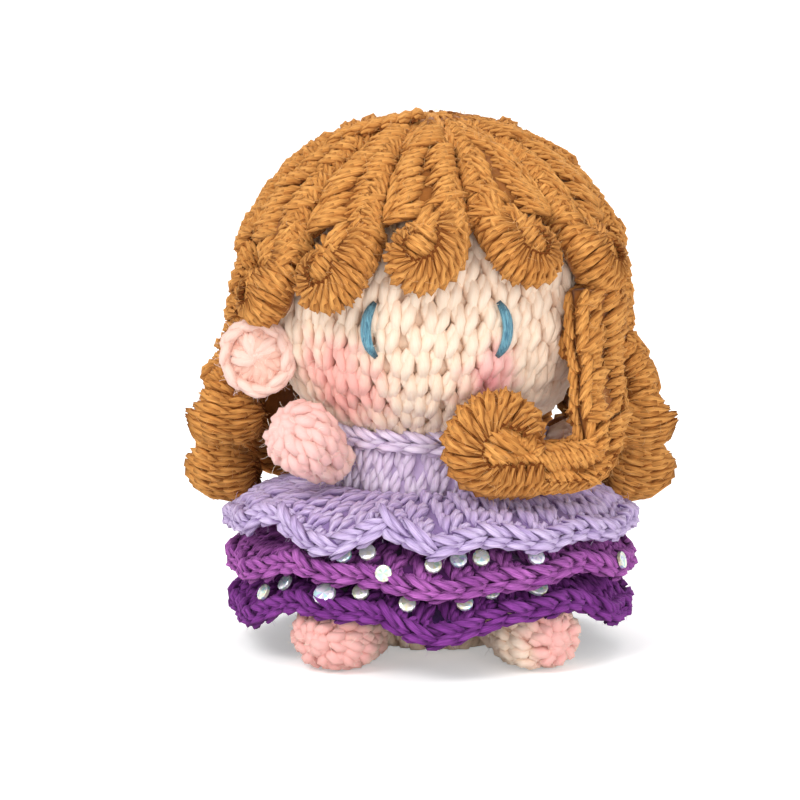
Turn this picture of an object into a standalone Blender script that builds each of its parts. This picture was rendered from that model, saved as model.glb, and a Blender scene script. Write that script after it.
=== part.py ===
"""Crocheted doll: stuffed head and body, sewn limbs, a wig of curl-ended locks, a ruffled dress.

Metres, +Z up. The doll faces -Y and stands on z = 0. Azimuths are counted from its front,
towards +X, and polar angles from its crown.
"""
import math

import bmesh
import bpy
from mathutils import Vector

# Fits and the place of the doll's own axis in the frame
fit_gap = 0.0003
seat_gap = 0.0004
axis_x = 0.0
axis_y = -0.0007

# Head: an egg of single crochet over a ball of filling
head_radius = 0.0275
head_half_height = 0.0255
head_wall = 0.0028
neck_radius = 0.0080

# Body: a pear of single crochet, flat underneath
body_height = 0.0322
body_radius = 0.0155
body_base_radius = 0.0105
body_wall = 0.0026
body_mouth_radius = 0.0055

# Legs: short stuffed tubes that swell into a foot
leg_root_radius = 0.0052
foot_half_width = 0.0074
foot_half_height = 0.0061
foot_length = 0.0070
leg_reach = 0.0062
leg_height = 0.0056
limb_wall = 0.0022
limb_mouth_radius = 0.0019
limb_filling_gap = 0.0006
floor_cut_depth = 0.0005

# Arms: stuffed tubes that swell into a hand
arm_root_radius = 0.0037
hand_half_width = 0.0064
hand_half_height = 0.0062
hand_length = 0.0056
arm_reach = 0.0080
arm_height = 0.0326
tucked_hand_half_width = 0.0050
tucked_arm_reach = 0.0022

# Ears and embroidered eyes
ear_half_width = 0.0053
tucked_ear_half_width = 0.0030
ear_half_depth = 0.0020
ear_half_height = 0.0058
ear_drop = 0.0078
ear_seat_gap = 0.0006
eye_length = 0.0086
eye_radius = 0.00085
eye_bow = 0.0008
eye_drop = 0.0012

# Wig: a crown disc, then strips that follow the head, with curled ends
strip_thickness = 0.0050
strip_gap = 0.0003
crown_radius = 0.0118
curl_ring_radius = 0.0048
curl_half_width = 0.0024
curl_half_depth = 0.0034
curl_rest_gap = 0.0007
ringlet_half_width = 0.0048
low_curl_lift = 0.0056
high_curl_lift = 0.0113
back_curl_lift = 0.0012
ringlet_flare = 0.0036

# Long lock over the doll's left shoulder, which ends in a rolled hook on the ruffle
hook_half_width = 0.0038
hook_half_depth = 0.0031
hook_bend_radius = 0.0043
hook_rest_gap = 0.0019
hook_centre_x = 0.0104
hook_top_half_width = 0.0059
hook_shoulder_radius = 0.0334
hook_root_length = 0.0034

# Dress: bodice, lining and three ruffled tiers
bodice_wall = 0.0022
bodice_top_lift = 0.0016
bodice_tilt = 0.0014
lining_wall = 0.0020
tier_thickness = 0.0026
tier_hem_radius = 0.0317
tier_front_reach = 0.0024
tier_step_in = 0.0005
tier_spacing = 0.0066
tier_drop = 0.0052
tier_top_z = 0.0262
tier_front_lift = 0.0022
purple_back_drop = 0.0026
fold_depth = 0.0008
fold_height = 0.0006
sway_height = 0.0010

# Rhinestones, flat at the back
small_stone_radius = 0.0015
large_stone_radius = 0.0020
stone_height = 0.0010

# Angles in degrees and shares
right_leg_azimuth = -34.0
left_leg_azimuth = 38.0
right_arm_azimuth = -47.0
left_arm_azimuth = 82.0
right_arm_rise = 34.0
left_arm_rise = 18.0
limb_core_start = 20.0
ear_azimuth = 59.0
ear_spread = 46.0
tucked_ear_azimuth = 74.5
right_eye_azimuth = -21.1
left_eye_azimuth = 23.6
curl_turn = 450.0
curl_hold = 120.0
curl_shrink_share = 0.10
curl_taper_share = 0.35
stone_table_share = 0.6
fold_count = 12
sway_count = 5
sway_azimuth = 2.0
bodice_low_azimuth = 140.0
head_steps = 20
body_steps = 16
tier_steps = 60
tier_rings = 5
lock_sides = 8
curl_steps = 12
ear_segments = 12

# The two narrowing stations between a strip and its curl: across, up, half width, as shares
turn_in_across_shares = (0.30, 0.80)
turn_in_up_shares = (1.75, 0.85)
turn_in_width_shares = (2.1, 1.45)
entry_share = 2.2
swing_power = 2.2
low_curl_share = 0.85
high_curl_share = 0.74
knuckle_shares = (0.94, 0.6)
fringe_rings = 4
strip_rings = 5
ringlet_rings = 3
lock_splay_share = 0.08

# Long lock with the hook: where it hangs and how far its end rolls, in degrees
hook_top_azimuth = 60.0
hook_low_azimuth = 52.5
hook_roll = 205.0
hook_front_share = 1.6
hook_spread_power = 0.7
hook_drop_shares = (0.0, 0.33, 0.66)

# Strips of the wig as sector edges in degrees, from the right temple round the back
fringe_edges = (-76.0, -45.5, -17.5, 13.0, 46.0, 77.0)
long_count = 9
long_drifts = (-5.5, -3.5, 0.0, 0.0, 0.0, 0.0, 0.0, 3.0, 0.0)
fringe_curl_azimuths = (-59.5, -32.5, -4.0, 31.5, 62.5)
fringe_curl_polars = (82.5, 73.0, 65.0, 65.0, 71.0)
fringe_curl_sides = (1, 1, 1, -1, -1)
fringe_size_shares = (0.84, 1.0, 1.05, 1.0, 0.95)
fringe_end_shares = (2.4, 1.9, 1.6, 1.6, 1.9)
fringe_entry_up_shares = (0.72, 0.36)

# Waves in the hems, tier by tier: azimuth and width in degrees, rise in metres
hem_waves = (
    ((-51.0, 9.0, 0.0026), (-28.0, 9.0, -0.0010), (-12.0, 6.5, 0.0030), (0.0, 6.0, -0.0006)),
    ((-40.0, 8.0, 0.0008), (14.0, 10.0, -0.0006), (52.0, 9.0, 0.0008)),
    ((-14.0, 6.0, 0.0008), (24.0, 8.0, 0.0007)),
)

# Rhinestones: tier, azimuth in degrees, share of the way to the hem, large or not
stone_places = (
    ("magenta_tier", -25.0, 0.74, False), ("magenta_tier", -18.5, 0.70, False),
    ("magenta_tier", -12.5, 0.92, False), ("magenta_tier", 0.2, 0.70, False),
    ("magenta_tier", 7.5, 0.66, False), ("magenta_tier", 14.0, 0.70, False),
    ("magenta_tier", 29.5, 0.76, False), ("magenta_tier", 37.5, 0.60, False),
    ("magenta_tier", 62.0, 0.90, False), ("purple_tier", 32.0, 0.66, True),
    ("purple_tier", -30.5, 0.82, True), ("purple_tier", -20.5, 0.74, False),
    ("purple_tier", -7.5, 0.72, False), ("purple_tier", 9.5, 0.70, False),
    ("purple_tier", 18.0, 0.66, False), ("purple_tier", -47.5, 0.72, False),
    ("purple_tier", -55.0, 0.76, False),
)

for old_object in list(bpy.data.objects):
    bpy.data.objects.remove(old_object, do_unlink=True)

doll = bpy.data.collections.new("crocheted_doll")
cutters = bpy.data.collections.new("cutters")
bpy.context.scene.collection.children.link(doll)
bpy.context.scene.collection.children.link(cutters)

axis = Vector((axis_x, axis_y, 0.0))
neck_share = math.sqrt(1.0 - (neck_radius / head_radius) ** 2)
head_centre_z = body_height + seat_gap + head_half_height * neck_share
strip_lift = fit_gap + strip_thickness / 2
dress_radius = body_radius + fit_gap + bodice_wall + seat_gap


def make_material(name, colour, roughness, metallic=0.0):
    """Plain surface in one colour."""
    material = bpy.data.materials.new(name)
    material.use_nodes = True
    shader = material.node_tree.nodes["Principled BSDF"]
    shader.inputs["Base Color"].default_value = (*colour, 1.0)
    shader.inputs["Roughness"].default_value = roughness
    shader.inputs["Metallic"].default_value = metallic
    return material


cream = make_material("cream_yarn", (0.93, 0.80, 0.70), 0.9)
blush = make_material("pink_yarn", (0.93, 0.55, 0.52), 0.9)
filling = make_material("white_filling", (0.93, 0.93, 0.92), 1.0)
ginger = make_material("ginger_yarn", (0.62, 0.30, 0.09), 0.9)
teal = make_material("teal_floss", (0.10, 0.36, 0.50), 0.7)
lilac = make_material("lilac_yarn", (0.50, 0.38, 0.74), 0.9)
magenta = make_material("magenta_yarn", (0.36, 0.08, 0.42), 0.9)
purple = make_material("purple_yarn", (0.11, 0.02, 0.20), 0.9)
crystal = make_material("foiled_crystal", (0.80, 0.82, 0.86), 0.15, 0.6)


def around(radius, azimuth, height):
    """Point round the doll's axis; the azimuth is in radians."""
    return axis + Vector((radius * math.sin(azimuth), -radius * math.cos(azimuth), height))


def outward(azimuth):
    """Level direction away from the axis."""
    return Vector((math.sin(azimuth), -math.cos(azimuth), 0.0))


def sideways(azimuth):
    """Level direction along a circle round the axis, towards growing azimuth."""
    return Vector((math.cos(azimuth), math.sin(azimuth), 0.0))


def over_head(azimuth, polar, lift):
    """Point at a height over the head's surface."""
    height = head_centre_z + (head_half_height + lift) * math.cos(polar)
    return around((head_radius + lift) * math.sin(polar), azimuth, height)


def head_normal(azimuth, polar):
    """Outward direction of the head's surface."""
    level = math.sin(polar) / head_radius
    normal = outward(azimuth) * level + Vector((0.0, 0.0, math.cos(polar) / head_half_height))
    return normal.normalized()


def add_object(name, mesh, material, collection=None):
    """Put a mesh in the scene as a named piece."""
    mesh.materials.append(material)
    piece = bpy.data.objects.new(name, mesh)
    (collection or doll).objects.link(piece)
    return piece


def mesh_from(name, points, faces):
    """Mesh of listed points and faces, pointing out and shaded smooth."""
    mesh = bpy.data.meshes.new(name)
    mesh.from_pydata([tuple(point) for point in points], [], faces)
    mesh.validate()
    mesh.shade_smooth()
    return mesh


def turned_shell(name, profile, wall, steps, material):
    """Profile of (radius, height) from the top down, turned round the axis, with a wall inwards."""
    mesh = bpy.data.meshes.new(name)
    points = [(radius, 0.0, height) for radius, height in profile]
    edges = [(index, index + 1) for index in range(len(points) - 1)]
    mesh.from_pydata(points, edges, [])
    piece = add_object(name, mesh, material)
    piece.location = axis
    screw = piece.modifiers.new("turn", "SCREW")
    screw.axis = "Z"
    screw.steps = steps
    screw.render_steps = steps
    screw.use_merge_vertices = True
    screw.merge_threshold = 0.00002
    screw.use_smooth_shade = True
    if wall > 0.0:
        thicken(piece, wall, -1.0)
    return piece


def thicken(piece, wall, offset):
    """Give an open surface its wall."""
    solidify = piece.modifiers.new("wall", "SOLIDIFY")
    solidify.thickness = wall
    solidify.offset = offset
    solidify.use_even_offset = True


def loft(name, stations, sides, material, round_ends=(True, True)):
    """Closed strip through stations of (centre, normal, half width, half thickness).

    Where a strip is wider than its curl, its outer face is wider than its inner one.
    """
    stations = list(stations)
    box_share = 0.58
    end_advance_share = 0.75
    end_size_share = 0.6
    if round_ends[1]:
        centre, normal, half_width, half_thickness = stations[-1]
        ahead = (centre - stations[-2][0]).normalized()
        advance = min(half_width, half_thickness) * end_advance_share
        stations.append((centre + ahead * advance, normal, half_width * end_size_share,
                         half_thickness * end_size_share))
    if round_ends[0]:
        centre, normal, half_width, half_thickness = stations[0]
        back = (centre - stations[1][0]).normalized()
        advance = min(half_width, half_thickness) * end_advance_share
        stations.insert(0, (centre + back * advance, normal, half_width * end_size_share,
                            half_thickness * end_size_share))
    points = []
    last = len(stations) - 1
    for index, (centre, normal, half_width, half_thickness) in enumerate(stations):
        before = stations[max(index - 1, 0)][0]
        after = stations[min(index + 1, last)][0]
        along = (after - before).normalized()
        across = normal.cross(along).normalized()
        outside = along.cross(across).normalized()
        full = min(1.0, max(0.0, half_width / curl_half_width - 1.0))
        for side in range(sides):
            angle = 2 * math.pi * side / sides
            wide = math.copysign(abs(math.cos(angle)) ** box_share, math.cos(angle))
            deep = math.copysign(abs(math.sin(angle)) ** box_share, math.sin(angle))
            splay = 1.0 + lock_splay_share * full * (1.0 + deep)
            points.append(centre + across * half_width * wide * splay
                          + outside * half_thickness * deep)
    faces = []
    for ring in range(last):
        for side in range(sides):
            following = (side + 1) % sides
            faces.append((ring * sides + side, ring * sides + following,
                          (ring + 1) * sides + following, (ring + 1) * sides + side))
    faces.append(tuple(reversed(range(sides))))
    faces.append(tuple(last * sides + side for side in range(sides)))
    return add_object(name, mesh_from(name, points, faces), material)


def head_profile(inset):
    """Outline of the head from its crown to the neck opening, drawn in by an inset."""
    neck_angle = math.asin(neck_radius / head_radius)
    rings = head_steps // 2
    profile = []
    for ring in range(rings + 1):
        polar = (math.pi - neck_angle) * ring / rings
        height = head_centre_z + (head_half_height - inset) * math.cos(polar)
        profile.append(((head_radius - inset) * math.sin(polar), height))
    return profile


def make_head():
    """Crocheted head cover, open at the neck, and the filling inside it."""
    turned_shell("head_cover", head_profile(0.0), head_wall, head_steps, cream)
    profile = head_profile(head_wall + seat_gap)
    profile.append((0.0, profile[-1][1]))
    turned_shell("head_filling", profile, 0.0, head_steps, filling)


def body_profile(inset, mouth):
    """Outline of the body from its mouth down to its flat base, drawn in by an inset."""
    height_shares = (0.96, 0.88, 0.68, 0.38, 0.15, 0.04)
    radius_shares = (0.62, 0.86, 0.98, 1.0, 0.97, 0.86)
    profile = [(mouth, body_height - inset)]
    for height_share, radius_share in zip(height_shares, radius_shares):
        radius = body_radius * radius_share - inset
        profile.append((radius, inset + (body_height - 2 * inset) * height_share))
    profile.append((body_base_radius - inset, inset))
    profile.append((0.0, inset))
    return profile


def make_body():
    """Crocheted body cover, open at the neck, and the filling inside it."""
    turned_shell("body_cover", body_profile(0.0, body_mouth_radius), body_wall, body_steps, cream)
    inner = body_wall + seat_gap
    profile = [(0.0, body_height - inner)]
    profile += body_profile(inner, body_mouth_radius)[1:]
    turned_shell("body_filling", profile, 0.0, body_steps, filling)


def limb_stations(inset, root_radius, reach, tip):
    """Offsets and half sizes along a limb: round root, swelling tube, round tip."""
    tip_width, tip_height, tip_length = tip
    root_shares = (0.0, 0.5, 1.0)
    tube_shares = (0.45, 1.0)
    tip_shares = (0.45, 0.75, 0.93)
    stations = []
    start = math.radians(limb_core_start)
    if inset == 0.0:
        start = math.asin(min(1.0, limb_mouth_radius / root_radius))
    for share in root_shares:
        angle = start + (math.pi / 2 - start) * share
        radius = root_radius - inset
        stations.append((-radius * math.cos(angle), radius * math.sin(angle),
                         radius * math.sin(angle)))
    for share in tube_shares:
        swell = share * share * (3 - 2 * share)
        stations.append((reach * share, root_radius + (tip_width - root_radius) * swell - inset,
                         root_radius + (tip_height - root_radius) * swell - inset))
    for share in tip_shares:
        shrink = math.sqrt(1.0 - share * share)
        stations.append((reach + (tip_length - inset) * share, (tip_width - inset) * shrink,
                         (tip_height - inset) * shrink))
    stations.append((reach + tip_length - inset, 0.0, 0.0))
    return stations


def limb_mesh(name, pivot, direction, stations, closed_root):
    """Skin of a limb along its direction; the root stays open unless it is closed."""
    level = direction.cross(Vector((0.0, 0.0, 1.0))).normalized()
    rise = level.cross(direction).normalized()
    sides = lock_sides
    points = []
    for offset, half_width, half_height in stations[:-1]:
        for side in range(sides):
            angle = 2 * math.pi * side / sides
            points.append(pivot + direction * offset + level * half_width * math.cos(angle)
                          + rise * half_height * math.sin(angle))
    tip = len(points)
    points.append(pivot + direction * stations[-1][0])
    faces = []
    rings = len(stations) - 1
    for ring in range(rings - 1):
        for side in range(sides):
            following = (side + 1) % sides
            faces.append((ring * sides + side, (ring + 1) * sides + side,
                          (ring + 1) * sides + following, ring * sides + following))
    for side in range(sides):
        following = (side + 1) % sides
        faces.append(((rings - 1) * sides + side, tip, (rings - 1) * sides + following))
    if closed_root:
        faces.append(tuple(range(sides)))
    return mesh_from(name, points, faces)


def make_limb(name, pivot, direction, root_radius, reach, tip, cutter=None):
    """Limb cover on its pivot, with its filling; a cutter flattens it where it stands."""
    print(name, "pivot, m:", [round(value, 6) for value in pivot])
    origin = Vector((0.0, 0.0, 0.0))
    skin = limb_mesh(name, origin, direction, limb_stations(0.0, root_radius, reach, tip), False)
    cover = add_object(name, skin, cream)
    cover.location = pivot
    thicken(cover, limb_wall, -1.0)
    if cutter:
        cut = cover.modifiers.new("flat_sole", "BOOLEAN")
        cut.operation = "DIFFERENCE"
        cut.solver = "EXACT"
        cut.object = cutter
    inner = limb_wall + limb_filling_gap
    core = limb_mesh(name, origin, direction, limb_stations(inner, root_radius, reach, tip), True)
    stuffing = add_object(name + "_filling", core, filling)
    stuffing.parent = cover


def make_floor_cutter():
    """Block under z = 0 that flattens the soles."""
    mesh = bpy.data.meshes.new("floor_cutter")
    shape = bmesh.new()
    bmesh.ops.create_cube(shape, size=2 * tier_hem_radius)
    shape.to_mesh(mesh)
    shape.free()
    block = add_object("floor_cutter", mesh, filling, cutters)
    block.location = axis - Vector((0.0, 0.0, tier_hem_radius))
    block.hide_render = True
    block.display_type = "WIRE"
    return block


def make_limbs():
    """Two legs under the hem and two arms over the ruffle."""
    floor_cutter = make_floor_cutter()
    foot = (foot_half_width, foot_half_height, foot_length)
    leg_radius = body_radius + fit_gap + leg_root_radius
    for name, azimuth in (("right_leg", right_leg_azimuth), ("left_leg", left_leg_azimuth)):
        turn = math.radians(azimuth)
        pivot = around(leg_radius, turn, leg_height)
        foot_centre_z = foot_half_height - floor_cut_depth
        slope = (foot_centre_z - leg_height) / leg_reach
        direction = (outward(turn) + Vector((0.0, 0.0, slope))).normalized()
        make_limb(name, pivot, direction, leg_root_radius, leg_reach, foot, floor_cutter)
    hand = (hand_half_width, hand_half_height, hand_length)
    tucked = (tucked_hand_half_width, tucked_hand_half_width, tucked_hand_half_width)
    arm_radius = body_radius + fit_gap + bodice_wall + fit_gap + arm_root_radius
    places = (("right_arm", right_arm_azimuth, right_arm_rise, arm_reach, hand),
              ("left_arm", left_arm_azimuth, left_arm_rise, tucked_arm_reach, tucked))
    for name, azimuth, rise, reach, tip in places:
        turn = math.radians(azimuth)
        tilt = math.radians(rise)
        pivot = around(arm_radius, turn, arm_height)
        direction = outward(turn) * math.cos(tilt) + Vector((0.0, 0.0, math.sin(tilt)))
        make_limb(name, pivot, direction, arm_root_radius, reach, tip)


def make_ears():
    """Cupped flaps of crochet: one stands out, the other is tucked between two locks."""
    cup_share = 0.62
    cup_depth_share = 0.25
    places = (("right_ear", -ear_azimuth, -ear_azimuth - ear_spread, ear_half_width),
              ("left_ear", tucked_ear_azimuth, tucked_ear_azimuth, tucked_ear_half_width))
    for name, azimuth, heading, half_width in places:
        mesh = bpy.data.meshes.new(name)
        shape = bmesh.new()
        bmesh.ops.create_uvsphere(shape, u_segments=ear_segments, v_segments=ear_segments // 2,
                                  radius=1.0)
        for vertex in shape.verts:
            across = math.hypot(vertex.co.x, vertex.co.z)
            depth = vertex.co.y * ear_half_depth
            if vertex.co.y < 0.0 and across < cup_share:
                depth *= cup_depth_share
            vertex.co = Vector((vertex.co.x * half_width, depth,
                                vertex.co.z * ear_half_height))
        shape.to_mesh(mesh)
        shape.free()
        mesh.shade_smooth()
        ear = add_object(name, mesh, blush)
        height = head_centre_z - ear_drop
        level_share = math.sqrt(1.0 - (ear_drop / head_half_height) ** 2)
        root = around(head_radius * level_share + ear_seat_gap, math.radians(azimuth), height)
        ear.location = root + outward(math.radians(heading)) * half_width
        side = math.copysign(1.0, azimuth)
        ear.rotation_euler = (0.0, 0.0, math.radians(heading) - side * math.pi / 2)


def make_eyes():
    """Upright bowed stitches of floss on the face."""
    point_count = 5
    for name, azimuth in (("right_eye", right_eye_azimuth), ("left_eye", left_eye_azimuth)):
        curve = bpy.data.curves.new(name, "CURVE")
        curve.dimensions = "3D"
        curve.bevel_depth = eye_radius
        curve.bevel_resolution = 1
        curve.use_fill_caps = True
        spline = curve.splines.new("POLY")
        spline.points.add(point_count - 1)
        for index in range(point_count):
            share = 2 * index / (point_count - 1) - 1
            rise = share * eye_length / 2 - eye_drop
            polar = math.acos(rise / head_half_height)
            bow = math.copysign(eye_bow, azimuth) * (1 - share * share) / head_radius
            turn = math.radians(azimuth) + bow
            point = over_head(turn, polar, seat_gap + eye_radius)
            spline.points[index].co = (*point, 1.0)
        curve.materials.append(teal)
        eye = bpy.data.objects.new(name, curve)
        doll.objects.link(eye)


def crown_polar():
    """Polar angle of the crown disc's edge."""
    return crown_radius / head_radius


def make_crown():
    """Round disc of the wig where all its strips begin."""
    rings = 4
    profile = []
    for ring in range(rings + 1):
        polar = crown_polar() * ring / rings
        height = head_centre_z + (head_half_height + fit_gap + strip_thickness) * math.cos(polar)
        radius = (head_radius + fit_gap + strip_thickness) * math.sin(polar)
        profile.append((radius, height))
    turned_shell("wig_crown", profile, strip_thickness, head_steps, ginger)


def gore_half_width(polar, half_sector):
    """Half the width of a strip that fills its sector of the head."""
    inner_radius = (head_radius + fit_gap) * math.sin(polar)
    return inner_radius * math.tan(half_sector) - strip_gap / 2


def gore_stations(azimuth, half_sector, end_polar, count):
    """Strip over the head from the crown disc down its sector."""
    start = crown_polar() + (seat_gap + strip_gap) / head_radius
    stations = []
    for index in range(count):
        polar = start + (end_polar - start) * index / (count - 1)
        stations.append((over_head(azimuth, polar, strip_lift), head_normal(azimuth, polar),
                         gore_half_width(polar, half_sector), strip_thickness / 2))
    return stations


def curl_stations(centre, normal, across, upward, side, size_share=1.0):
    """Snail curl in a plane: a held quarter turn, then an even shrinking spiral."""
    stations = []
    for step in range(curl_steps + 1):
        degrees = curl_turn * step / curl_steps
        shrink = size_share * curl_shrink_share ** (max(0.0, degrees - curl_hold) / 360.0)
        angle = math.radians(degrees)
        arm = across * side * math.cos(angle) - upward * math.sin(angle)
        stations.append((centre + arm * curl_ring_radius * shrink, normal,
                         curl_half_width * shrink,
                         curl_half_depth * (1.0 - curl_taper_share * step / curl_steps)))
    return stations


def least_gap(stations):
    """Smallest clear distance between parts of one curl that lie more than half a turn apart."""
    least = None
    half_turn = curl_steps * 180.0 / curl_turn
    for first in range(len(stations)):
        for second in range(first + int(half_turn) + 1, len(stations)):
            clear = (stations[first][0] - stations[second][0]).length
            clear -= stations[first][2] + stations[second][2]
            least = clear if least is None else min(least, clear)
    return least


def make_fringe():
    """Short locks over the forehead, each with its curl at the hairline."""
    for index in range(len(fringe_edges) - 1):
        low = math.radians(fringe_edges[index])
        high = math.radians(fringe_edges[index + 1])
        azimuth = (low + high) / 2
        turn = math.radians(fringe_curl_azimuths[index])
        polar = math.radians(fringe_curl_polars[index])
        side = fringe_curl_sides[index]
        end_share = fringe_end_shares[index]
        strip_end = polar - end_share * curl_ring_radius / head_radius
        stations = gore_stations(azimuth, (high - low) / 2, strip_end, fringe_rings)
        level_radius = head_radius * math.sin(polar)
        for across_share, up_share, width_share in zip(
                turn_in_across_shares, fringe_entry_up_shares, turn_in_width_shares):
            drift = side * across_share * curl_ring_radius / level_radius
            rise = up_share * end_share * curl_ring_radius / head_radius
            stations.append((over_head(turn + drift, polar - rise, strip_lift),
                             head_normal(turn + drift, polar - rise),
                             curl_half_width * width_share, strip_thickness / 2))
        normal = head_normal(turn, polar)
        across = sideways(turn)
        upward = normal.cross(across)
        if upward.z < 0.0:
            upward.negate()
        centre = over_head(turn, polar, fit_gap + curl_half_depth)
        curl = curl_stations(centre, normal, across, upward, side, fringe_size_shares[index])
        name = "fringe_lock_%d" % (index + 1)
        print(name, "least gap in its curl, mm:", round(least_gap(curl) * 1000, 2))
        loft(name, stations + curl, lock_sides, ginger, (False, True))


def tier_hem_radius_at(azimuth, tier_index=0):
    """Mean radius of a hem, further forward in front and smaller down the dress."""
    return tier_hem_radius + tier_front_reach * math.cos(azimuth) - tier_step_in * tier_index


def tier_profile_z(tier_index, azimuth, share):
    """Height of a tier's mid surface at a share of its quarter ellipse."""
    top = tier_top_z - tier_index * tier_spacing
    sway = math.cos(sway_count * (azimuth - math.radians(sway_azimuth)))
    hem = top - tier_drop + tier_front_lift * math.cos(azimuth)
    hem -= sway_height * tier_index * sway
    if tier_index == 2:
        hem -= purple_back_drop * ((1 - math.cos(azimuth)) / 2) ** 2
    top += tier_front_lift * math.cos(azimuth) / 2
    return hem + (top - hem) * math.cos(share * math.pi / 2)


def tier_point(tier_index, azimuth, share, lift=0.0):
    """Mid surface of a ruffled tier: out from the waist and down to the hem, in folds."""
    fold = math.cos(fold_count * azimuth)
    reach = tier_hem_radius_at(azimuth, tier_index) + fold_depth * fold * share - dress_radius
    radius = dress_radius + reach * math.sin(share * math.pi / 2)
    height = tier_profile_z(tier_index, azimuth, share) - fold_height * fold * share
    degrees = (math.degrees(azimuth) + 180.0) % 360.0 - 180.0
    for centre, width, rise in hem_waves[tier_index]:
        height += rise * share ** 2 * math.exp(-((degrees - centre) / width) ** 2)
    return around(radius + lift, azimuth, height)


def lilac_top(azimuth, radius):
    """Highest that the upper tier comes at a radius, folds included."""
    share = (radius - dress_radius) / (tier_hem_radius_at(azimuth) - dress_radius)
    share = min(1.0, max(0.0, share))
    angle_share = math.asin(share) / (math.pi / 2)
    return tier_profile_z(0, azimuth, angle_share) + tier_thickness / 2 + fold_height


def ringlet_stations(start_azimuth, azimuth, top, curl_radius, curl_z, side, size_share):
    """Hanging lock from its top point (radius, height) down to a curl."""
    top_radius, top_z = top
    normal = outward(azimuth)
    across = sideways(azimuth)
    upward = Vector((0.0, 0.0, 1.0))
    centre = around(curl_radius, azimuth, curl_z)
    stations = []
    entry_z = curl_z + entry_share * curl_ring_radius * size_share
    for index in range(ringlet_rings):
        share = index / ringlet_rings
        swing = share ** swing_power
        turn = start_azimuth + (azimuth - start_azimuth) * swing
        radius = top_radius + (curl_radius - top_radius) * swing
        height = top_z + (entry_z - top_z) * share
        stations.append((around(radius, turn, height), outward(turn), ringlet_half_width,
                         strip_thickness / 2))
    for across_share, up_share, width_share in zip(
            turn_in_across_shares, turn_in_up_shares, turn_in_width_shares):
        point = centre + across * side * across_share * curl_ring_radius * size_share
        point += upward * up_share * curl_ring_radius * size_share
        stations.append((point, normal, curl_half_width * width_share * size_share,
                         (strip_thickness / 2 + curl_half_depth) / 2))
    return stations + curl_stations(centre, normal, across, upward, side, size_share)


def knuckle(stations):
    """Round the top of a free lock about its hinge, so that it can swing."""
    centre, normal, half_width, half_thickness = stations[0]
    upward = Vector((0.0, 0.0, 1.0))
    rounded = []
    for share in knuckle_shares:
        shrink = math.sqrt(1.0 - share * share)
        rounded.append((centre + upward * half_thickness * share, normal, half_width,
                        half_thickness * shrink))
    straight = (centre - upward * half_thickness / 2, normal, half_width, half_thickness)
    return rounded + [stations[0], straight] + stations[1:]


def make_long_locks():
    """Locks from temple to temple round the back; the two on each side have free ends."""
    first_edge = fringe_edges[0]
    sector = (360.0 + first_edge - fringe_edges[-1]) / long_count
    half_sector = math.radians(sector / 2)
    names = ("right_lock_1", "right_lock_2", "back_lock_1", "back_lock_2", "back_lock_3",
             "back_lock_4", "back_lock_5", "left_lock_2", "left_lock_1")
    level_polar = math.pi / 2
    strip_radius = head_radius + strip_lift
    hinge_z = head_centre_z - strip_thickness / 2 - strip_gap
    for index, name in enumerate(names):
        azimuth = math.radians(first_edge - sector * (index + 0.5))
        end_azimuth = azimuth + math.radians(long_drifts[index])
        side = 1 if math.sin(azimuth) < 0.0 else -1
        hem = tier_hem_radius_at(end_azimuth) + tier_thickness / 2 + fold_depth
        outside_radius = hem + curl_rest_gap + curl_half_depth
        over_radius = head_radius + strip_lift + ringlet_flare
        rest_z = lilac_top(end_azimuth, over_radius - curl_half_depth)
        rest_z += curl_rest_gap + curl_ring_radius + curl_half_width
        size_share = 1.0
        if name.endswith("lock_2") and not name.startswith("back"):
            curl_radius = outside_radius
            curl_z = tier_top_z - tier_drop + low_curl_lift
            size_share = low_curl_share
        elif name.startswith("back"):
            curl_radius = over_radius
            curl_z = rest_z + back_curl_lift * (1 + index % 2)
        else:
            curl_radius = over_radius
            curl_z = tier_top_z + high_curl_lift
            size_share = high_curl_share
        if name.startswith("back"):
            strip = gore_stations(azimuth, half_sector, level_polar, strip_rings)
            top = (strip_radius, head_centre_z)
            lock = ringlet_stations(azimuth, end_azimuth, top, curl_radius, curl_z, side,
                                    size_share)
            loft(name, strip + lock[1:], lock_sides, ginger, (False, True))
            continue
        strip = gore_stations(azimuth, half_sector, level_polar, strip_rings)
        loft(name + "_strip", strip, lock_sides, ginger, (False, False))
        top = (strip_radius, hinge_z)
        lock = ringlet_stations(azimuth, end_azimuth, top, curl_radius, curl_z, side,
                                size_share)
        free = loft(name + "_ringlet", knuckle(lock), lock_sides, ginger, (False, True))
        hang_on_hinge(free, around(strip_radius, azimuth, hinge_z), azimuth)


def hang_on_hinge(piece, hinge, azimuth):
    """Move a piece's origin to its hinge, with the shape left in place."""
    for vertex in piece.data.vertices:
        vertex.co -= hinge
    piece.location = hinge
    print(piece.name, "hinge, m:", [round(value, 6) for value in hinge],
          "axis:", [round(-value, 5) for value in sideways(azimuth)])


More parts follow.
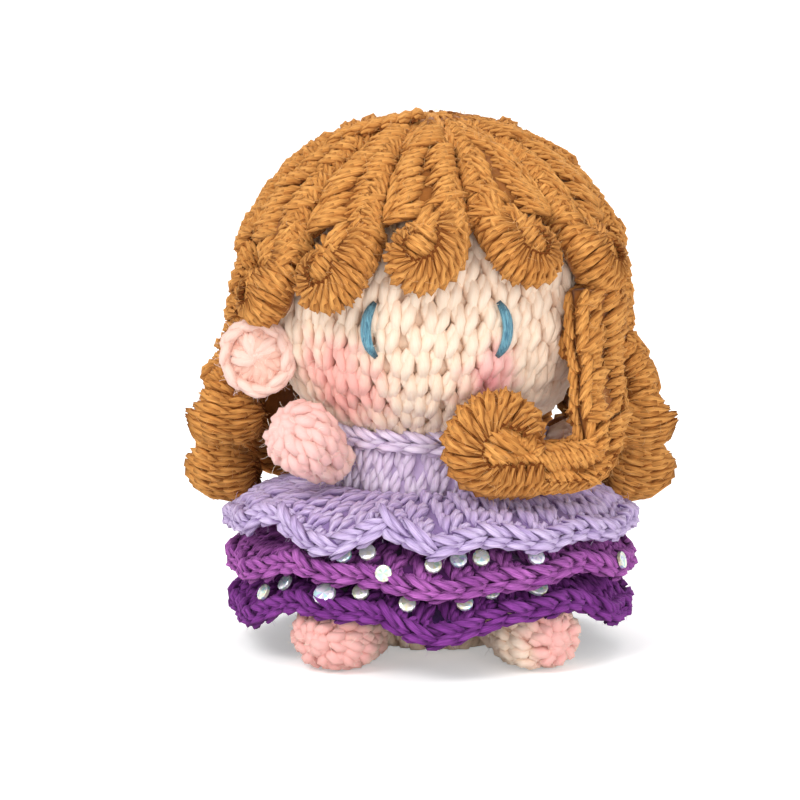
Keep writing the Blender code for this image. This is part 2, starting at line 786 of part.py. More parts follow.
def make_hook_lock():
    """Long lock over the left shoulder: down the cheek, along the ruffle, rolled up at its end."""
    top_azimuth = math.radians(hook_top_azimuth)
    low_azimuth = math.radians(hook_low_azimuth)
    strip_radius = head_radius + strip_lift
    curl_polar = math.radians(fringe_curl_polars[-1])
    curl_foot = over_head(top_azimuth, curl_polar, 0.0).z - curl_ring_radius - curl_half_width
    root_top = curl_foot - fit_gap - curl_half_width / 2
    root_end = root_top - hook_root_length
    hinge_z = root_end - strip_gap - strip_thickness / 2
    stations = []
    for height in (root_top, (root_top + root_end) / 2, root_end):
        stations.append((around(strip_radius, top_azimuth, height), outward(top_azimuth),
                         hook_top_half_width, strip_thickness / 2))
    loft("hook_lock_root", stations, lock_sides, ginger, (False, False))
    front_radius = hook_shoulder_radius - hook_front_share * hook_half_depth
    band_z = lilac_top(low_azimuth, front_radius) + hook_rest_gap + hook_half_width
    bend_z = band_z + hook_bend_radius
    stations = []
    for share in hook_drop_shares:
        turn = top_azimuth + (low_azimuth - top_azimuth) * share
        radius = strip_radius + (hook_shoulder_radius - strip_radius) * share ** hook_spread_power
        height = hinge_z + (bend_z + hook_bend_radius - hinge_z) * share / hook_drop_shares[-1]
        stations.append((around(radius, turn, height), outward(turn), hook_top_half_width,
                         strip_thickness / 2))
    shoulder_x = hook_shoulder_radius * math.sin(low_azimuth)
    route = []
    corner_count = 4
    for step in range(corner_count):
        angle = math.pi / 2 * step / corner_count
        route.append((shoulder_x - hook_bend_radius * (1 - math.cos(angle)),
                      bend_z - hook_bend_radius * math.sin(angle)))
    run_end = hook_centre_x
    run_start = shoulder_x - hook_bend_radius
    for share in (0.0, 0.5):
        route.append((run_start + (run_end - run_start) * share, band_z))
    hook_count = 7
    for step in range(hook_count):
        angle = math.radians(hook_roll) * step / (hook_count - 1)
        route.append((hook_centre_x - hook_bend_radius * math.sin(angle),
                      bend_z - hook_bend_radius * math.cos(angle)))
    for across, height in route:
        share = (across - hook_centre_x) / (shoulder_x - hook_centre_x)
        share = min(1.0, max(0.0, share))
        radius = front_radius + (hook_shoulder_radius - front_radius) * share
        turn = math.asin(across / radius)
        stations.append((around(radius, turn, height), outward(turn), hook_half_width,
                         hook_half_depth))
    free = loft("hook_lock_ringlet", knuckle(stations), lock_sides, ginger, (False, True))
    hang_on_hinge(free, around(strip_radius, top_azimuth, hinge_z), top_azimuth)


def make_bodice():
    """Snug crocheted band under the chin, and the lining tube that carries the tiers."""
    inner = body_radius + fit_gap
    rows = 4
    top = body_height + bodice_top_lift
    bottom = tier_top_z - tier_spacing / 2
    steps = head_steps + 4
    points = []
    for row in range(rows):
        share = row / (rows - 1)
        for step in range(steps):
            azimuth = 2 * math.pi * step / steps
            tilt = bodice_tilt * math.cos(azimuth + math.radians(180.0 - bodice_low_azimuth)) * (1 - share)
            height = top + (bottom - top) * share + tilt
            points.append(around(inner + bodice_wall / 2, azimuth, height))
    faces = []
    for row in range(rows - 1):
        for step in range(steps):
            following = (step + 1) % steps
            faces.append((row * steps + step, (row + 1) * steps + step,
                          (row + 1) * steps + following, row * steps + following))
    bodice = add_object("bodice", mesh_from("bodice", points, faces), lilac)
    thicken(bodice, bodice_wall, 0.0)
    outer = inner + lining_wall
    lining_top = bottom - bodice_tilt - fit_gap
    lining_bottom = tier_top_z - 2 * tier_spacing - tier_thickness
    turned_shell("skirt_lining", [(outer, lining_top), (outer, lining_bottom)], lining_wall,
                 head_steps + 4, purple)


def make_tiers():
    """Three ruffles, one over the other, with the same folds."""
    tiers = (("lilac_tier", lilac), ("magenta_tier", magenta), ("purple_tier", purple))
    for tier_index, (name, material) in enumerate(tiers):
        points = []
        for ring in range(tier_rings):
            share = ring / (tier_rings - 1)
            for step in range(tier_steps):
                azimuth = 2 * math.pi * step / tier_steps
                points.append(tier_point(tier_index, azimuth, share))
        faces = []
        for ring in range(tier_rings - 1):
            for step in range(tier_steps):
                following = (step + 1) % tier_steps
                faces.append((ring * tier_steps + step, (ring + 1) * tier_steps + step,
                              (ring + 1) * tier_steps + following,
                              ring * tier_steps + following))
        tier = add_object(name, mesh_from(name, points, faces), material)
        thicken(tier, tier_thickness, 0.0)


def make_stones():
    """Round flat-backed rhinestones glued to the two lower tiers."""
    tier_names = ("lilac_tier", "magenta_tier", "purple_tier")
    nudge_share = 0.002
    for index, (tier_name, degrees, share, is_large) in enumerate(stone_places):
        tier_index = tier_names.index(tier_name)
        azimuth = math.radians(degrees)
        radius = large_stone_radius if is_large else small_stone_radius
        here = tier_point(tier_index, azimuth, share)
        along = tier_point(tier_index, azimuth, share + nudge_share) - here
        across = tier_point(tier_index, azimuth + nudge_share, share) - here
        normal = along.cross(across).normalized()
        if normal.dot(outward(azimuth)) < 0.0:
            normal.negate()
        name = "rhinestone_%02d" % (index + 1)
        mesh = bpy.data.meshes.new(name)
        shape = bmesh.new()
        bmesh.ops.create_cone(shape, cap_ends=True, segments=8, radius1=radius,
                              radius2=radius * stone_table_share, depth=stone_height)
        shape.to_mesh(mesh)
        shape.free()
        stone = add_object(name, mesh, crystal)
        lift = tier_thickness / 2 + seat_gap + stone_height / 2
        stone.location = here + normal * lift
        stone.rotation_mode = "QUATERNION"
        stone.rotation_quaternion = Vector((0.0, 0.0, 1.0)).rotation_difference(normal)


make_head()
make_body()
make_limbs()
make_ears()
make_eyes()
make_crown()
make_fringe()
make_long_locks()
make_hook_lock()
make_bodice()
make_tiers()
make_stones()
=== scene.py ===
"""Looks of the crocheted doll: every piece in worked yarn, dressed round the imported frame.

Metres, +Z up. The doll faces -Y. Azimuths are counted from its front, towards +X.
"""
import math
import random
from math import cos, pi, radians, sin, sqrt

import bmesh
import bpy
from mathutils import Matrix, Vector, noise


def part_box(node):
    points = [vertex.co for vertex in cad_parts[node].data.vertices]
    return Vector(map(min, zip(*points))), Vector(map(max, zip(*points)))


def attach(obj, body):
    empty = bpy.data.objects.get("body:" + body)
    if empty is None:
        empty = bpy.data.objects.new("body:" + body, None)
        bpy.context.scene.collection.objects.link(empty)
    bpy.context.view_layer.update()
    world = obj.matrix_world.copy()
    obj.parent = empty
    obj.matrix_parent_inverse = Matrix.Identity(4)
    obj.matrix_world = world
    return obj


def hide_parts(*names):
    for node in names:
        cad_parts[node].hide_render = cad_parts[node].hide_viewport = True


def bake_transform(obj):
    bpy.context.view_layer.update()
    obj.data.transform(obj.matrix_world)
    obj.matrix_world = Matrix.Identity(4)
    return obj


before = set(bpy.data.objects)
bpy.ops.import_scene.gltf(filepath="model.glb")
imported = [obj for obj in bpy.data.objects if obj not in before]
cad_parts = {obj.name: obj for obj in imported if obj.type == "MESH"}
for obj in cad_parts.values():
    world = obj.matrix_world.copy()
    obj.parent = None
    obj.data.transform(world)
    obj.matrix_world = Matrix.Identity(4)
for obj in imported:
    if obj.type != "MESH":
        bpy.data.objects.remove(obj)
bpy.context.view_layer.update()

# Head cover: a hollow egg worked round and round in single crochet from a fuzzy cream yarn.
# Each stitch shows as a V of two plump strands, and the rows climb in a slow spiral. Blusher is
# rubbed on both cheeks.
head_low, head_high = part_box("head_cover")
axis = Vector(((head_low.x + head_high.x) / 2, (head_low.y + head_high.y) / 2, 0.0))
head_radius = (head_high.x - head_low.x) / 2
head_half_height = 0.0255
head_centre_z = head_high.z - head_half_height
head_wall = 0.0028
neck_radius = 0.0080
cream_row = 0.0043
cream_stitch = 0.0048
strand_overlap = 1.14
arches = (0.18, 0.55, 1.1)
ply_turns = 0.7
draws = random.Random(11)


def tone(code):
    """Linear colour of a written one."""
    shares = [int(code[index:index + 2], 16) / 255 for index in (1, 3, 5)]
    return tuple(((share + 0.055) / 1.055) ** 2.4 if share > 0.04045 else share / 12.92
                 for share in shares)


def feed(tree, made, inputs):
    """Link sockets, or set values, to a node's inputs by place or name."""
    for key, value in inputs.items() if isinstance(inputs, dict) else enumerate(inputs):
        if isinstance(value, bpy.types.NodeSocket):
            tree.links.new(value, made.inputs[key])
        elif value is not None:
            made.inputs[key].default_value = value


def node(tree, kind, inputs=(), **settings):
    """Add a node, set it up and feed it."""
    made = tree.nodes.new(kind)
    for key, value in settings.items():
        setattr(made, key, value)
    feed(tree, made, inputs)
    return made


def calc(tree, operation, *values):
    """Result of one sum on sockets or numbers."""
    return node(tree, "ShaderNodeMath", values, operation=operation).outputs[0]


def ranged(tree, value, low, high, top=1.0, **settings):
    """Value brought from a range to one between 0 and a top."""
    return node(tree, "ShaderNodeMapRange", {"Value": value, "From Min": low, "From Max": high,
                                             "To Max": top}, **settings).outputs[0]


def grain(tree, place, scale, detail=3.0, **more):
    """Noise at a place."""
    return node(tree, "ShaderNodeTexNoise", {"Vector": place, "Scale": scale, "Detail": detail,
                                             **more}).outputs["Fac"]


def attribute(tree, name):
    """Number that a mesh carries under a name."""
    return node(tree, "ShaderNodeAttribute", attribute_name=name).outputs["Fac"]


def mix(tree, factor, first, second):
    """Colour between two colours."""
    made = node(tree, "ShaderNodeMix", data_type="RGBA")
    first, second = ((*colour, 1.0) if isinstance(colour, tuple) else colour
                     for colour in (first, second))
    feed(tree, made, {0: factor, 6: first, 7: second})
    return made.outputs[2]


def look(name):
    """New material, with its tree and its shader."""
    material = bpy.data.materials.new(name)
    material.use_nodes = True
    return material, material.node_tree, material.node_tree.nodes["Principled BSDF"]


def set_surface(tree, shader, colour, height, strength, distance, **numbers):
    """Give a shader its colour, its relief and its numbers."""
    bump = node(tree, "ShaderNodeBump", {"Strength": strength, "Distance": distance, "Height": height})
    feed(tree, shader, {"Base Color": colour, "Normal": bump.outputs[0]})
    feed(tree, shader, {key.replace("_", " "): value for key, value in numbers.items()})


def yarn(name, lit, mid, deep, spots=(), groove_shade_share=0.8, fibre_shade_share=0.32, glow=0.0, sheen=0.3,
         crevice_shade_share=0.5):
    """Plied yarn: fine fibres along each ply, painted shade between plies and under strands, uneven dye,
    soft sheen.
    """
    material, tree, shader = look(name)
    place = node(tree, "ShaderNodeTexCoord").outputs["Object"]
    lit, mid, shadow = (tone(code) for code in (lit, mid, deep))
    along = attribute(tree, "strand_along")
    round_angle = calc(tree, "ARCTAN2", attribute(tree, "strand_sin"), attribute(tree, "strand_cos"))
    turned = calc(tree, "MULTIPLY_ADD", along, pi, round_angle)
    shade = attribute(tree, "shade")
    ply = attribute(tree, "ply")
    length_place = calc(tree, "ADD", calc(tree, "MULTIPLY_ADD", along, 0.9, ply),
                        calc(tree, "MULTIPLY", shade, 37.0))
    fibre_place = node(tree, "ShaderNodeCombineXYZ", (calc(tree, "COSINE", turned),
                                                      calc(tree, "SINE", turned), length_place))
    streak = ranged(tree, grain(tree, fibre_place.outputs[0], 3.4, 4.0, Roughness=0.72), 0.36, 0.62)
    patches = grain(tree, place, 240.0)
    own_shade = calc(tree, "FRACT", calc(tree, "MULTIPLY_ADD", ply, 1.7, shade))
    dye = calc(tree, "MULTIPLY_ADD", patches, 0.9, -0.55)
    dye = calc(tree, "MULTIPLY_ADD", own_shade, 0.4, dye)
    light_share = calc(tree, "MULTIPLY_ADD", streak, 0.6, dye)
    colour = mix(tree, node(tree, "ShaderNodeClamp", (light_share,)).outputs[0], mid, lit)
    for centre, radius, strength, code in spots:
        tint = tone(code)
        apart = node(tree, "ShaderNodeVectorMath", (place, centre), operation="DISTANCE")
        ragged = calc(tree, "MULTIPLY_ADD", calc(tree, "SUBTRACT", patches, 0.5), radius * 1.1,
                      apart.outputs["Value"])
        near = ranged(tree, ragged, radius, radius * 0.35, strength, interpolation_type="SMOOTHSTEP")
        colour = mix(tree, near, colour, tint)
        shadow = mix(tree, near, shadow, tuple(part * 0.66 for part in tint))
    # Painted shade: the colour goes towards the deep tone between the plies, in the darker fibre streaks
    # and under and beside each strand.
    sunk = calc(tree, "SUBTRACT", 1.0, attribute(tree, "outer"))
    strand_shade = calc(tree, "MULTIPLY", calc(tree, "SUBTRACT", 1.0, streak), fibre_shade_share)
    strand_shade = calc(tree, "MULTIPLY_ADD", attribute(tree, "crevice"), crevice_shade_share, strand_shade)
    groove_shade = calc(tree, "MULTIPLY_ADD", sunk, groove_shade_share, strand_shade)
    groove_shade = node(tree, "ShaderNodeClamp", (groove_shade,)).outputs[0]
    set_surface(tree, shader, mix(tree, groove_shade, colour, shadow), streak, 0.4, 0.00025,
                Roughness=0.88, Specular_IOR_Level=0.2, Sheen_Weight=sheen, Sheen_Tint=(*lit, 1.0),
                Sheen_Roughness=0.6, Subsurface_Weight=glow, Subsurface_Scale=0.0012,
                Subsurface_Radius=(1.0, 0.92, 0.86))
    return material


def nap(name, code, dark_share=0.5, scale=900.0):
    """Matted inner yarn under the stitches, or a loose fibre of it. Under the stitches its darker colour
    is partly painted shade in the gaps.
    """
    material, tree, shader = look(name)
    place = node(tree, "ShaderNodeTexCoord").outputs["Object"]
    matting = grain(tree, place, scale)
    darker = tuple(part * dark_share for part in tone(code))
    set_surface(tree, shader, mix(tree, matting, darker, tone(code)), matting, 0.8, 0.0003,
                Roughness=0.95, Specular_IOR_Level=0.15, Sheen_Weight=0.2)
    return material


def crochet_tree(ply_count, ply_offset, ply_radius):
    """Lay a plied strand on every stitch point of a backing, then raise loose fibres on them."""
    tree = bpy.data.node_groups.new("crochet_%d_ply" % ply_count, "GeometryNodeTree")
    wanted = {"Geometry": ("Backing",), "Object": ("Stitches",), "Int": ("Sides", "Rings", "Seed"),
              "Float": ("Flat arch", "Round arch", "Deep arch", "Fibre density",
                        "Fibre length", "Fibre thickness"),
              "Material": ("Yarn", "Nap", "Fluff")}
    for kind, names in wanted.items():
        for name in names:
            tree.interface.new_socket(name, in_out="INPUT", socket_type="NodeSocket" + kind)
    tree.interface.new_socket("Geometry", in_out="OUTPUT", socket_type="NodeSocketGeometry")
    source = node(tree, "NodeGroupInput").outputs

    def geo(kind, inputs=(), **settings):
        return node(tree, "GeometryNode" + kind, inputs, **settings).outputs[0]

    def total(operation, *values):
        return calc(tree, operation, *values)

    def kept(geometry, name, value):
        return geo("StoreNamedAttribute", {"Geometry": geometry, "Name": name, "Value": value},
                   data_type="FLOAT", domain="POINT")

    def carried(name, kind="FLOAT_VECTOR"):
        return geo("InputNamedAttribute", {"Name": name}, data_type=kind)

    def swept(line, ring, girth):
        return geo("CurveToMesh", {"Curve": line, "Profile Curve": ring, "Scale": girth,
                                   "Fill Caps": True})

    def joined(parts):
        join = node(tree, "GeometryNodeJoinGeometry")
        for part in parts:
            tree.links.new(part, join.inputs[0])
        return join.outputs[0]

    def dyed(geometry, look_name):
        return geo("SetMaterial", {"Geometry": geometry, "Material": source[look_name]})

    def one_ply(ply, arch):
        line = geo("CurvePrimitiveLine", {"Start": (-0.5, 0.0, 0.0), "End": (0.5, 0.0, 0.0)})
        line = geo("ResampleCurve", {"Curve": line, "Count": source["Rings"]})
        factor = geo("SplineParameter")
        from_middle = total("MULTIPLY_ADD", factor, 2.0, -1.0)
        fullness = total("SUBTRACT", 1.0, total("MULTIPLY", from_middle, from_middle))
        girth = total("POWER", total("MAXIMUM", fullness, 0.22), 0.42)
        rise = total("MULTIPLY", fullness, arch)
        for name, value in (("strand_along", factor), ("ply", ply / ply_count),
                            ("strand_girth", girth), ("strand_rise", rise)):
            line = kept(line, name, value)
        angle = total("MULTIPLY_ADD", factor, 2 * pi * ply_turns, 2 * pi * ply / ply_count)
        apart = total("MULTIPLY", girth, ply_offset)
        over = total("MULTIPLY", total("COSINE", angle), apart)
        high = total("MULTIPLY_ADD", total("SINE", angle), apart, rise)
        moved = node(tree, "ShaderNodeCombineXYZ", (0.0, over, high)).outputs[0]
        line = geo("SetPosition", {"Geometry": line, "Offset": moved})
        ring = geo("CurvePrimitiveCircle", {"Resolution": source["Sides"], "Radius": ply_radius})
        here = node(tree, "ShaderNodeSeparateXYZ", (geo("InputPosition"),)).outputs
        ring = kept(kept(ring, "strand_cos", here[0]), "strand_sin", here[1])
        return swept(line, ring, girth)

    def lobe(arch):
        plies = joined([one_ply(ply, arch) for ply in range(ply_count)])
        here = node(tree, "ShaderNodeSeparateXYZ", (geo("InputPosition"),)).outputs
        girth = carried("strand_girth", "FLOAT")
        height = total("SUBTRACT", here[2], carried("strand_rise", "FLOAT"))
        reach = total("MULTIPLY_ADD", height, height, total("MULTIPLY", here[1], here[1]))
        reach = total("DIVIDE", total("SQRT", reach), girth)
        # Masks for the painted shade in the yarn colour: outer is low between the plies, crevice is high
        # under and beside the strand.
        plies = kept(plies, "outer", ranged(tree, reach, ply_offset, 0.46))
        level = total("DIVIDE", height, girth)
        plies = kept(plies, "crevice", ranged(tree, level, 0.30, -0.08))
        return geo("GeometryToInstance", (plies,))

    shapes = joined([lobe(source[arch]) for arch in ("Deep arch", "Round arch", "Flat arch")])
    points = node(tree, "GeometryNodeObjectInfo", {"Object": source["Stitches"]})
    facing = node(tree, "FunctionNodeAxesToRotation", (carried("along"), carried("normal")),
                  primary_axis="X", secondary_axis="Z")
    laid = geo("InstanceOnPoints", {
        "Points": points.outputs["Geometry"], "Instance": shapes, "Pick Instance": True,
        "Instance Index": carried("bow", "INT"), "Rotation": facing.outputs[0],
        "Scale": carried("size")})
    worked = geo("SetShadeSmooth", (geo("RealizeInstances", (laid,)),))
    worked = dyed(worked, "Yarn")
    spread = node(tree, "GeometryNodeDistributePointsOnFaces",
                  {"Mesh": worked, "Density": source["Fibre density"], "Seed": source["Seed"]})
    hair_line = geo("CurveQuadraticBezier", {"Resolution": 2, "Start": (0.0, 0.0, -0.15),
                                             "Middle": (0.10, 0.0, 0.55),
                                             "End": (0.50, 0.12, 0.80)})
    thin = geo("CurvePrimitiveCircle", {"Resolution": 3, "Radius": 1.0})
    girth = total("DIVIDE", source["Fibre thickness"], total("MULTIPLY", source["Fibre length"], 2.0))
    lean = node(tree, "FunctionNodeRandomValue",
                {0: (-1.0, -1.0, -pi), 1: (1.0, 1.0, pi), "Seed": source["Seed"]},
                data_type="FLOAT_VECTOR").outputs[0]
    turn = node(tree, "FunctionNodeRotateRotation",
                {"Rotation": spread.outputs["Rotation"], "Rotate By": lean},
                rotation_space="LOCAL").outputs[0]
    reach = node(tree, "FunctionNodeRandomValue", {2: 0.35, 3: 1.25, "Seed": source["Seed"]},
                 data_type="FLOAT")
    stretch = total("MULTIPLY", reach.outputs[1], source["Fibre length"])
    fluff = geo("InstanceOnPoints", {"Points": spread.outputs["Points"], "Rotation": turn,
                                     "Instance": swept(hair_line, thin, girth),
                                     "Scale": stretch})
    fluff = dyed(geo("RealizeInstances", (fluff,)), "Fluff")
    # The backing takes the Nap material, whose darker colour is partly painted shade in the gaps between
    # stitches.
    whole = joined((dyed(source["Backing"], "Nap"), worked, fluff))
    node(tree, "NodeGroupOutput", (whole,))
    return tree


crochet_groups = {2: crochet_tree(2, 0.17, 0.35), 3: crochet_tree(3, 0.25, 0.26),
                  4: crochet_tree(4, 0.26, 0.25)}


def set_inputs(modifier, **values):
    """Give a modifier its inputs by the names of its sockets."""
    for item in modifier.node_group.interface.items_tree:
        key = item.name.lower().replace(" ", "_")
        if item.in_out == "INPUT" and key in values:
            modifier[item.identifier] = values[key]


def plain(piece):
    """Turn an object with a modifier into one plain mesh, and drop the modifier."""
    view = bpy.context.evaluated_depsgraph_get()
    mesh = bpy.data.meshes.new_from_object(piece.evaluated_get(view), depsgraph=view)
    piece.modifiers.clear()
    piece.data = mesh
    mesh.name = piece.name
    return piece


def added(name, data):
    """New object in the scene."""
    piece = bpy.data.objects.new(name, data)
    bpy.context.scene.collection.objects.link(piece)
    return piece


def meshed(shape, name, smooth=True):
    """Mesh of a shape under work, which is done with."""
    mesh = bpy.data.meshes.new(name)
    shape.to_mesh(mesh)
    shape.free()
    if smooth:
        mesh.shade_smooth()
    return mesh


def shell(name, rings, ends=True):
    """Closed skin through rings of points; without ends the last ring joins the first."""
    sides = len(rings[0])
    faces = []
    for ring in range(len(rings) - ends):
        upper = (ring + 1) % len(rings) * sides
        for side in range(sides):
            following = (side + 1) % sides
            faces.append((ring * sides + side, ring * sides + following,
                          upper + following, upper + side))
    if ends:
        faces.append(tuple(reversed(range(sides))))
        faces.append(tuple((len(rings) - 1) * sides + side for side in range(sides)))
    mesh = bpy.data.meshes.new(name)
    mesh.from_pydata([tuple(point) for ring in rings for point in ring], [], faces)
    shape = bmesh.new()
    shape.from_mesh(mesh)
    bpy.data.meshes.remove(mesh)
    if ends:
        bmesh.ops.remove_doubles(shape, verts=shape.verts, dist=0.00002)
    bmesh.ops.recalc_face_normals(shape, faces=shape.faces)
    return meshed(shape, name)


def shake(most):
    """Random number between a least and a most of the same size."""
    return draws.uniform(-most, most)


def strand(stitches, start, end, normal, width, depth=None, crest=None, bowed=0):
    """Note one strand from a start to an end point, over a crest, on a surface with a normal."""
    aside = Vector(shake(width * 0.07) for _ in range(3))
    along = end - start
    middle = (start + end) / 2
    depth = depth or width
    if bowed:
        middle = crest - normal * depth * arches[bowed]
    elif crest:
        middle = (middle + crest) / 2
    size = (along.length * strand_overlap, width * draws.uniform(0.90, 1.10), depth)
    stitches.append((middle + aside, along, normal, size, draws.random(), bowed))


sole_depth = 0.0004
sole_squeeze = 0.18


def crochet(name, backing, stitches, materials, density, fibre_length=0.0013,
            fibre_thickness=0.00004, plies=3, sides=4, rings=6):
    """Work the noted strands and their fluff over a backing mesh into one plain piece.

    What hangs lower than the flat soles of the CAD solids is pressed flat on the floor.
    """
    places = bpy.data.meshes.new(name + "_stitches")
    places.from_pydata([tuple(stitch[0]) for stitch in stitches], [], [])
    for key, slot in (("along", 1), ("normal", 2), ("size", 3)):
        values = [part for stitch in stitches for part in stitch[slot]]
        places.attributes.new(key, "FLOAT_VECTOR", "POINT").data.foreach_set("vector", values)
    shades = [stitch[4] for stitch in stitches]
    places.attributes.new("shade", "FLOAT", "POINT").data.foreach_set("value", shades)
    bows = [stitch[5] for stitch in stitches]
    places.attributes.new("bow", "INT", "POINT").data.foreach_set("value", bows)
    guide = added(name + "_stitches", places)
    piece = added(name, backing)
    modifier = piece.modifiers.new("crochet", "NODES")
    modifier.node_group = crochet_groups[plies]
    set_inputs(modifier, stitches=guide, sides=sides, rings=rings, flat_arch=arches[0],
               round_arch=arches[1], deep_arch=arches[2],
               fibre_density=density, fibre_length=fibre_length,
               fibre_thickness=fibre_thickness, seed=draws.randrange(1000),
               yarn=materials[0], nap=materials[1], fluff=materials[2])
    plain(piece)
    bpy.data.objects.remove(guide)
    for vertex in piece.data.vertices:
        if vertex.co.z < sole_depth:
            vertex.co.z = sole_depth - (sole_depth - vertex.co.z) * sole_squeeze
    return piece


def up(height):
    """Vector straight up."""
    return Vector((0.0, 0.0, height))


def outward(azimuth):
    """Level direction away from the axis."""
    return Vector((sin(azimuth), -cos(azimuth), 0.0))


def sideways(azimuth):
    """Level direction along a circle round the axis."""
    return Vector((cos(azimuth), sin(azimuth), 0.0))


def around(radius, azimuth, height):
    """Point round the doll's axis."""
    return axis + outward(azimuth) * radius + up(height)


def over_head(azimuth, polar, lift):
    """Point at a height over the head's surface."""
    height = head_centre_z + (head_half_height + lift) * cos(polar)
    return around((head_radius + lift) * sin(polar), azimuth, height)


def head_normal(azimuth, polar):
    """Outward direction of the head's surface."""
    level = sin(polar) / head_radius
    normal = outward(azimuth) * level + up(cos(polar) / head_half_height)
    return normal.normalized()


def ring_of(surface, sides, share, lift):
    """Points of one round of a surface."""
    return [surface(2 * pi * side / sides, share, lift)[0] for side in range(sides)]


def rows_of_v(stitches, surface, length, row_height, stitch_width, start=0.0, end=1.0,
              slant=0.35, plump=0.50, opens=-1, raised=0.0, nested=0.42):
    """Rounds of V stitches over a surface(angle, share, lift) that gives a point and normal."""
    rows = max(1, round(length * (end - start) / row_height))
    step = (end - start) / rows
    depth = stitch_width * plump
    for row in range(rows):
        middle = start + (row + 0.5) * step
        ring = ring_of(surface, 16, middle, 0.0)
        girth = sum((ring[turn] - ring[turn - 1]).length for turn in range(16))
        count = max(5, round(girth / stitch_width))
        for stitch in range(count):
            angle = 2 * pi * (stitch + slant * row) / count
            angle += 2 * pi / count * shake(0.09)
            spread = 2 * pi / count * 0.26
            climb = slant * step / count * stitch + step * shake(0.08)
            low = middle - opens * step * 0.66 + climb - slant * step / 2
            high = middle + opens * step * 0.56 + climb - slant * step / 2
            low = min(1.0, max(0.0, low))
            high = min(1.0, max(0.0, high))
            for side in (-1, 1):
                puff = raised + depth * draws.uniform(-0.10, 0.05)
                foot, _ = surface(angle + side * spread * nested, low, puff - depth * 0.62)
                top, _ = surface(angle + side * spread * 1.08, high, puff - depth * 0.50)
                _, normal = surface(angle + side * spread, (low + high) / 2, 0.0)
                strand(stitches, foot, top, normal, depth * 0.98, depth * 1.05)


def surfaced(place, heart):
    """Surface(angle, share, lift), with its normal away from a heart, from a place(angle, share)."""
    step = 0.01

    def surface(angle, share, lift):
        point = place(angle, share)
        inner = min(1.0 - step, max(step, share))
        over = place(angle + step, inner) - place(angle - step, inner)
        down = place(angle, inner + step) - place(angle, inner - step)
        normal = over.cross(down).normalized()
        if normal.dot(point - heart) < 0.0:
            normal.negate()
        return point + normal * lift, normal

    return surface


def head_place(angle, share):
    """Point on the head cover from its crown to its neck opening."""
    return over_head(angle, neck_polar * share, 0.0)


def turned(surface, lifts, sides, steps):
    """Rings of a turned wall: down its outside and back up its inside."""
    shares = [step / steps for step in range(steps + 1)]
    return [ring_of(surface, sides, share, lift)
            for lift, order in zip(lifts, (shares, reversed(shares))) for share in order]


neck_polar = pi - math.asin(neck_radius / head_radius)
cheeks = [(tuple(over_head(radians(azimuth), radians(polar), 0.0)), radius, strength, code)
          for azimuth, polar, radius, strength, code in (
              (-36.0, 116.0, 0.0112, 0.85, "#f6a9a2"), (22.0, 111.0, 0.0070, 0.75, "#f7aeb0"),
              (20.0, 113.0, 0.0026, 0.55, "#e57f8d"))]
skin_fluff = {"fibre_length": 0.0014, "fibre_thickness": 0.00005, "plies": 2, "sides": 6}
# Cream tones: lighter, middle, and a deep tone that is painted shade between plies and under strands.
cream_tones = ("#f6e4d0", "#f5ddc6", "#e6b28c")
# The backing is inner cream yarn, made warmer and darker as painted shade in the gaps between stitches.
face_yarn = (yarn("face_yarn", *cream_tones, cheeks, 0.18, 0.10, 0.0, 0.5, 0.5),
             nap("cream_nap", "#f7dbc2", 0.92), nap("cream_fluff", "#f9ead9", 0.96))
head_surface = surfaced(head_place, axis + up(head_centre_z))
stitches = []
rows_of_v(stitches, head_surface, head_radius * neck_polar, cream_row, cream_stitch, slant=0.45,
          plump=0.66, nested=0.50, raised=0.0004)
backing = shell("head_backing", turned(head_surface, (-0.0016, -head_wall), 40, 28))
head_piece = crochet("head_crochet", backing, stitches, face_yarn, 0.6e5, rings=5,
                     **skin_fluff)
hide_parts("head_cover")
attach(head_piece, "head")

# Head filling: a ball of loose white fibre, packed hard inside the cover through its neck. It is
# a little lumpy where it presses on the cover.
deepest_lump = 0.0006
lumps_a_metre = 420.0
filling_look = nap("filling_fibre", "#f2f1ee", 0.86, 2400.0)


def stuffing(node_name, body):
    """Packed fibre in its solid's place, drawn in and lumpy where it presses on the cover."""
    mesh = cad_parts[node_name].data.copy()
    mesh.materials.clear()
    mesh.materials.append(filling_look)
    shape = bmesh.new()
    shape.from_mesh(mesh)
    bmesh.ops.remove_doubles(shape, verts=shape.verts, dist=0.00002)
    bmesh.ops.subdivide_edges(shape, edges=shape.edges, cuts=1, use_grid_fill=True)
    shape.normal_update()
    for vertex in shape.verts:
        lump = noise.noise(vertex.co * lumps_a_metre) * 0.5 + 0.5
        vertex.co -= vertex.normal * deepest_lump * lump
    shape.to_mesh(mesh)
    shape.free()
    mesh.shade_smooth()
    piece = added(node_name + "_fibre", mesh)
    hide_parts(node_name)
    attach(piece, body)


stuffing("head_filling", "head")

# Body: a pear of cream single crochet, flat underneath, with its own filling; the neck opening
# at its top is sewn under the head.
body_profile = ((0.0, 0.0), (0.0105, 0.0), (0.0133, 0.0013), (0.0150, 0.0048),
                (0.0155, 0.0122), (0.0152, 0.0219), (0.0133, 0.0283), (0.0096, 0.0309),
                (0.0055, 0.0322))
body_heart_z = 0.014


def measured(outline):
    """Values at a share of the way along an outline, and its length."""
    ways = [0.0]
    for first, second in zip(outline, outline[1:]):
        ways.append(ways[-1] + math.dist(first, second))

    def at(share):
        way = share * ways[-1]
        span = next((index for index in range(1, len(ways)) if way <= ways[index]), len(ways) - 1)
        part = (way - ways[span - 1]) / (ways[span] - ways[span - 1])
        return [first + (second - first) * part
                for first, second in zip(outline[span - 1], outline[span])]

    return at, ways[-1]


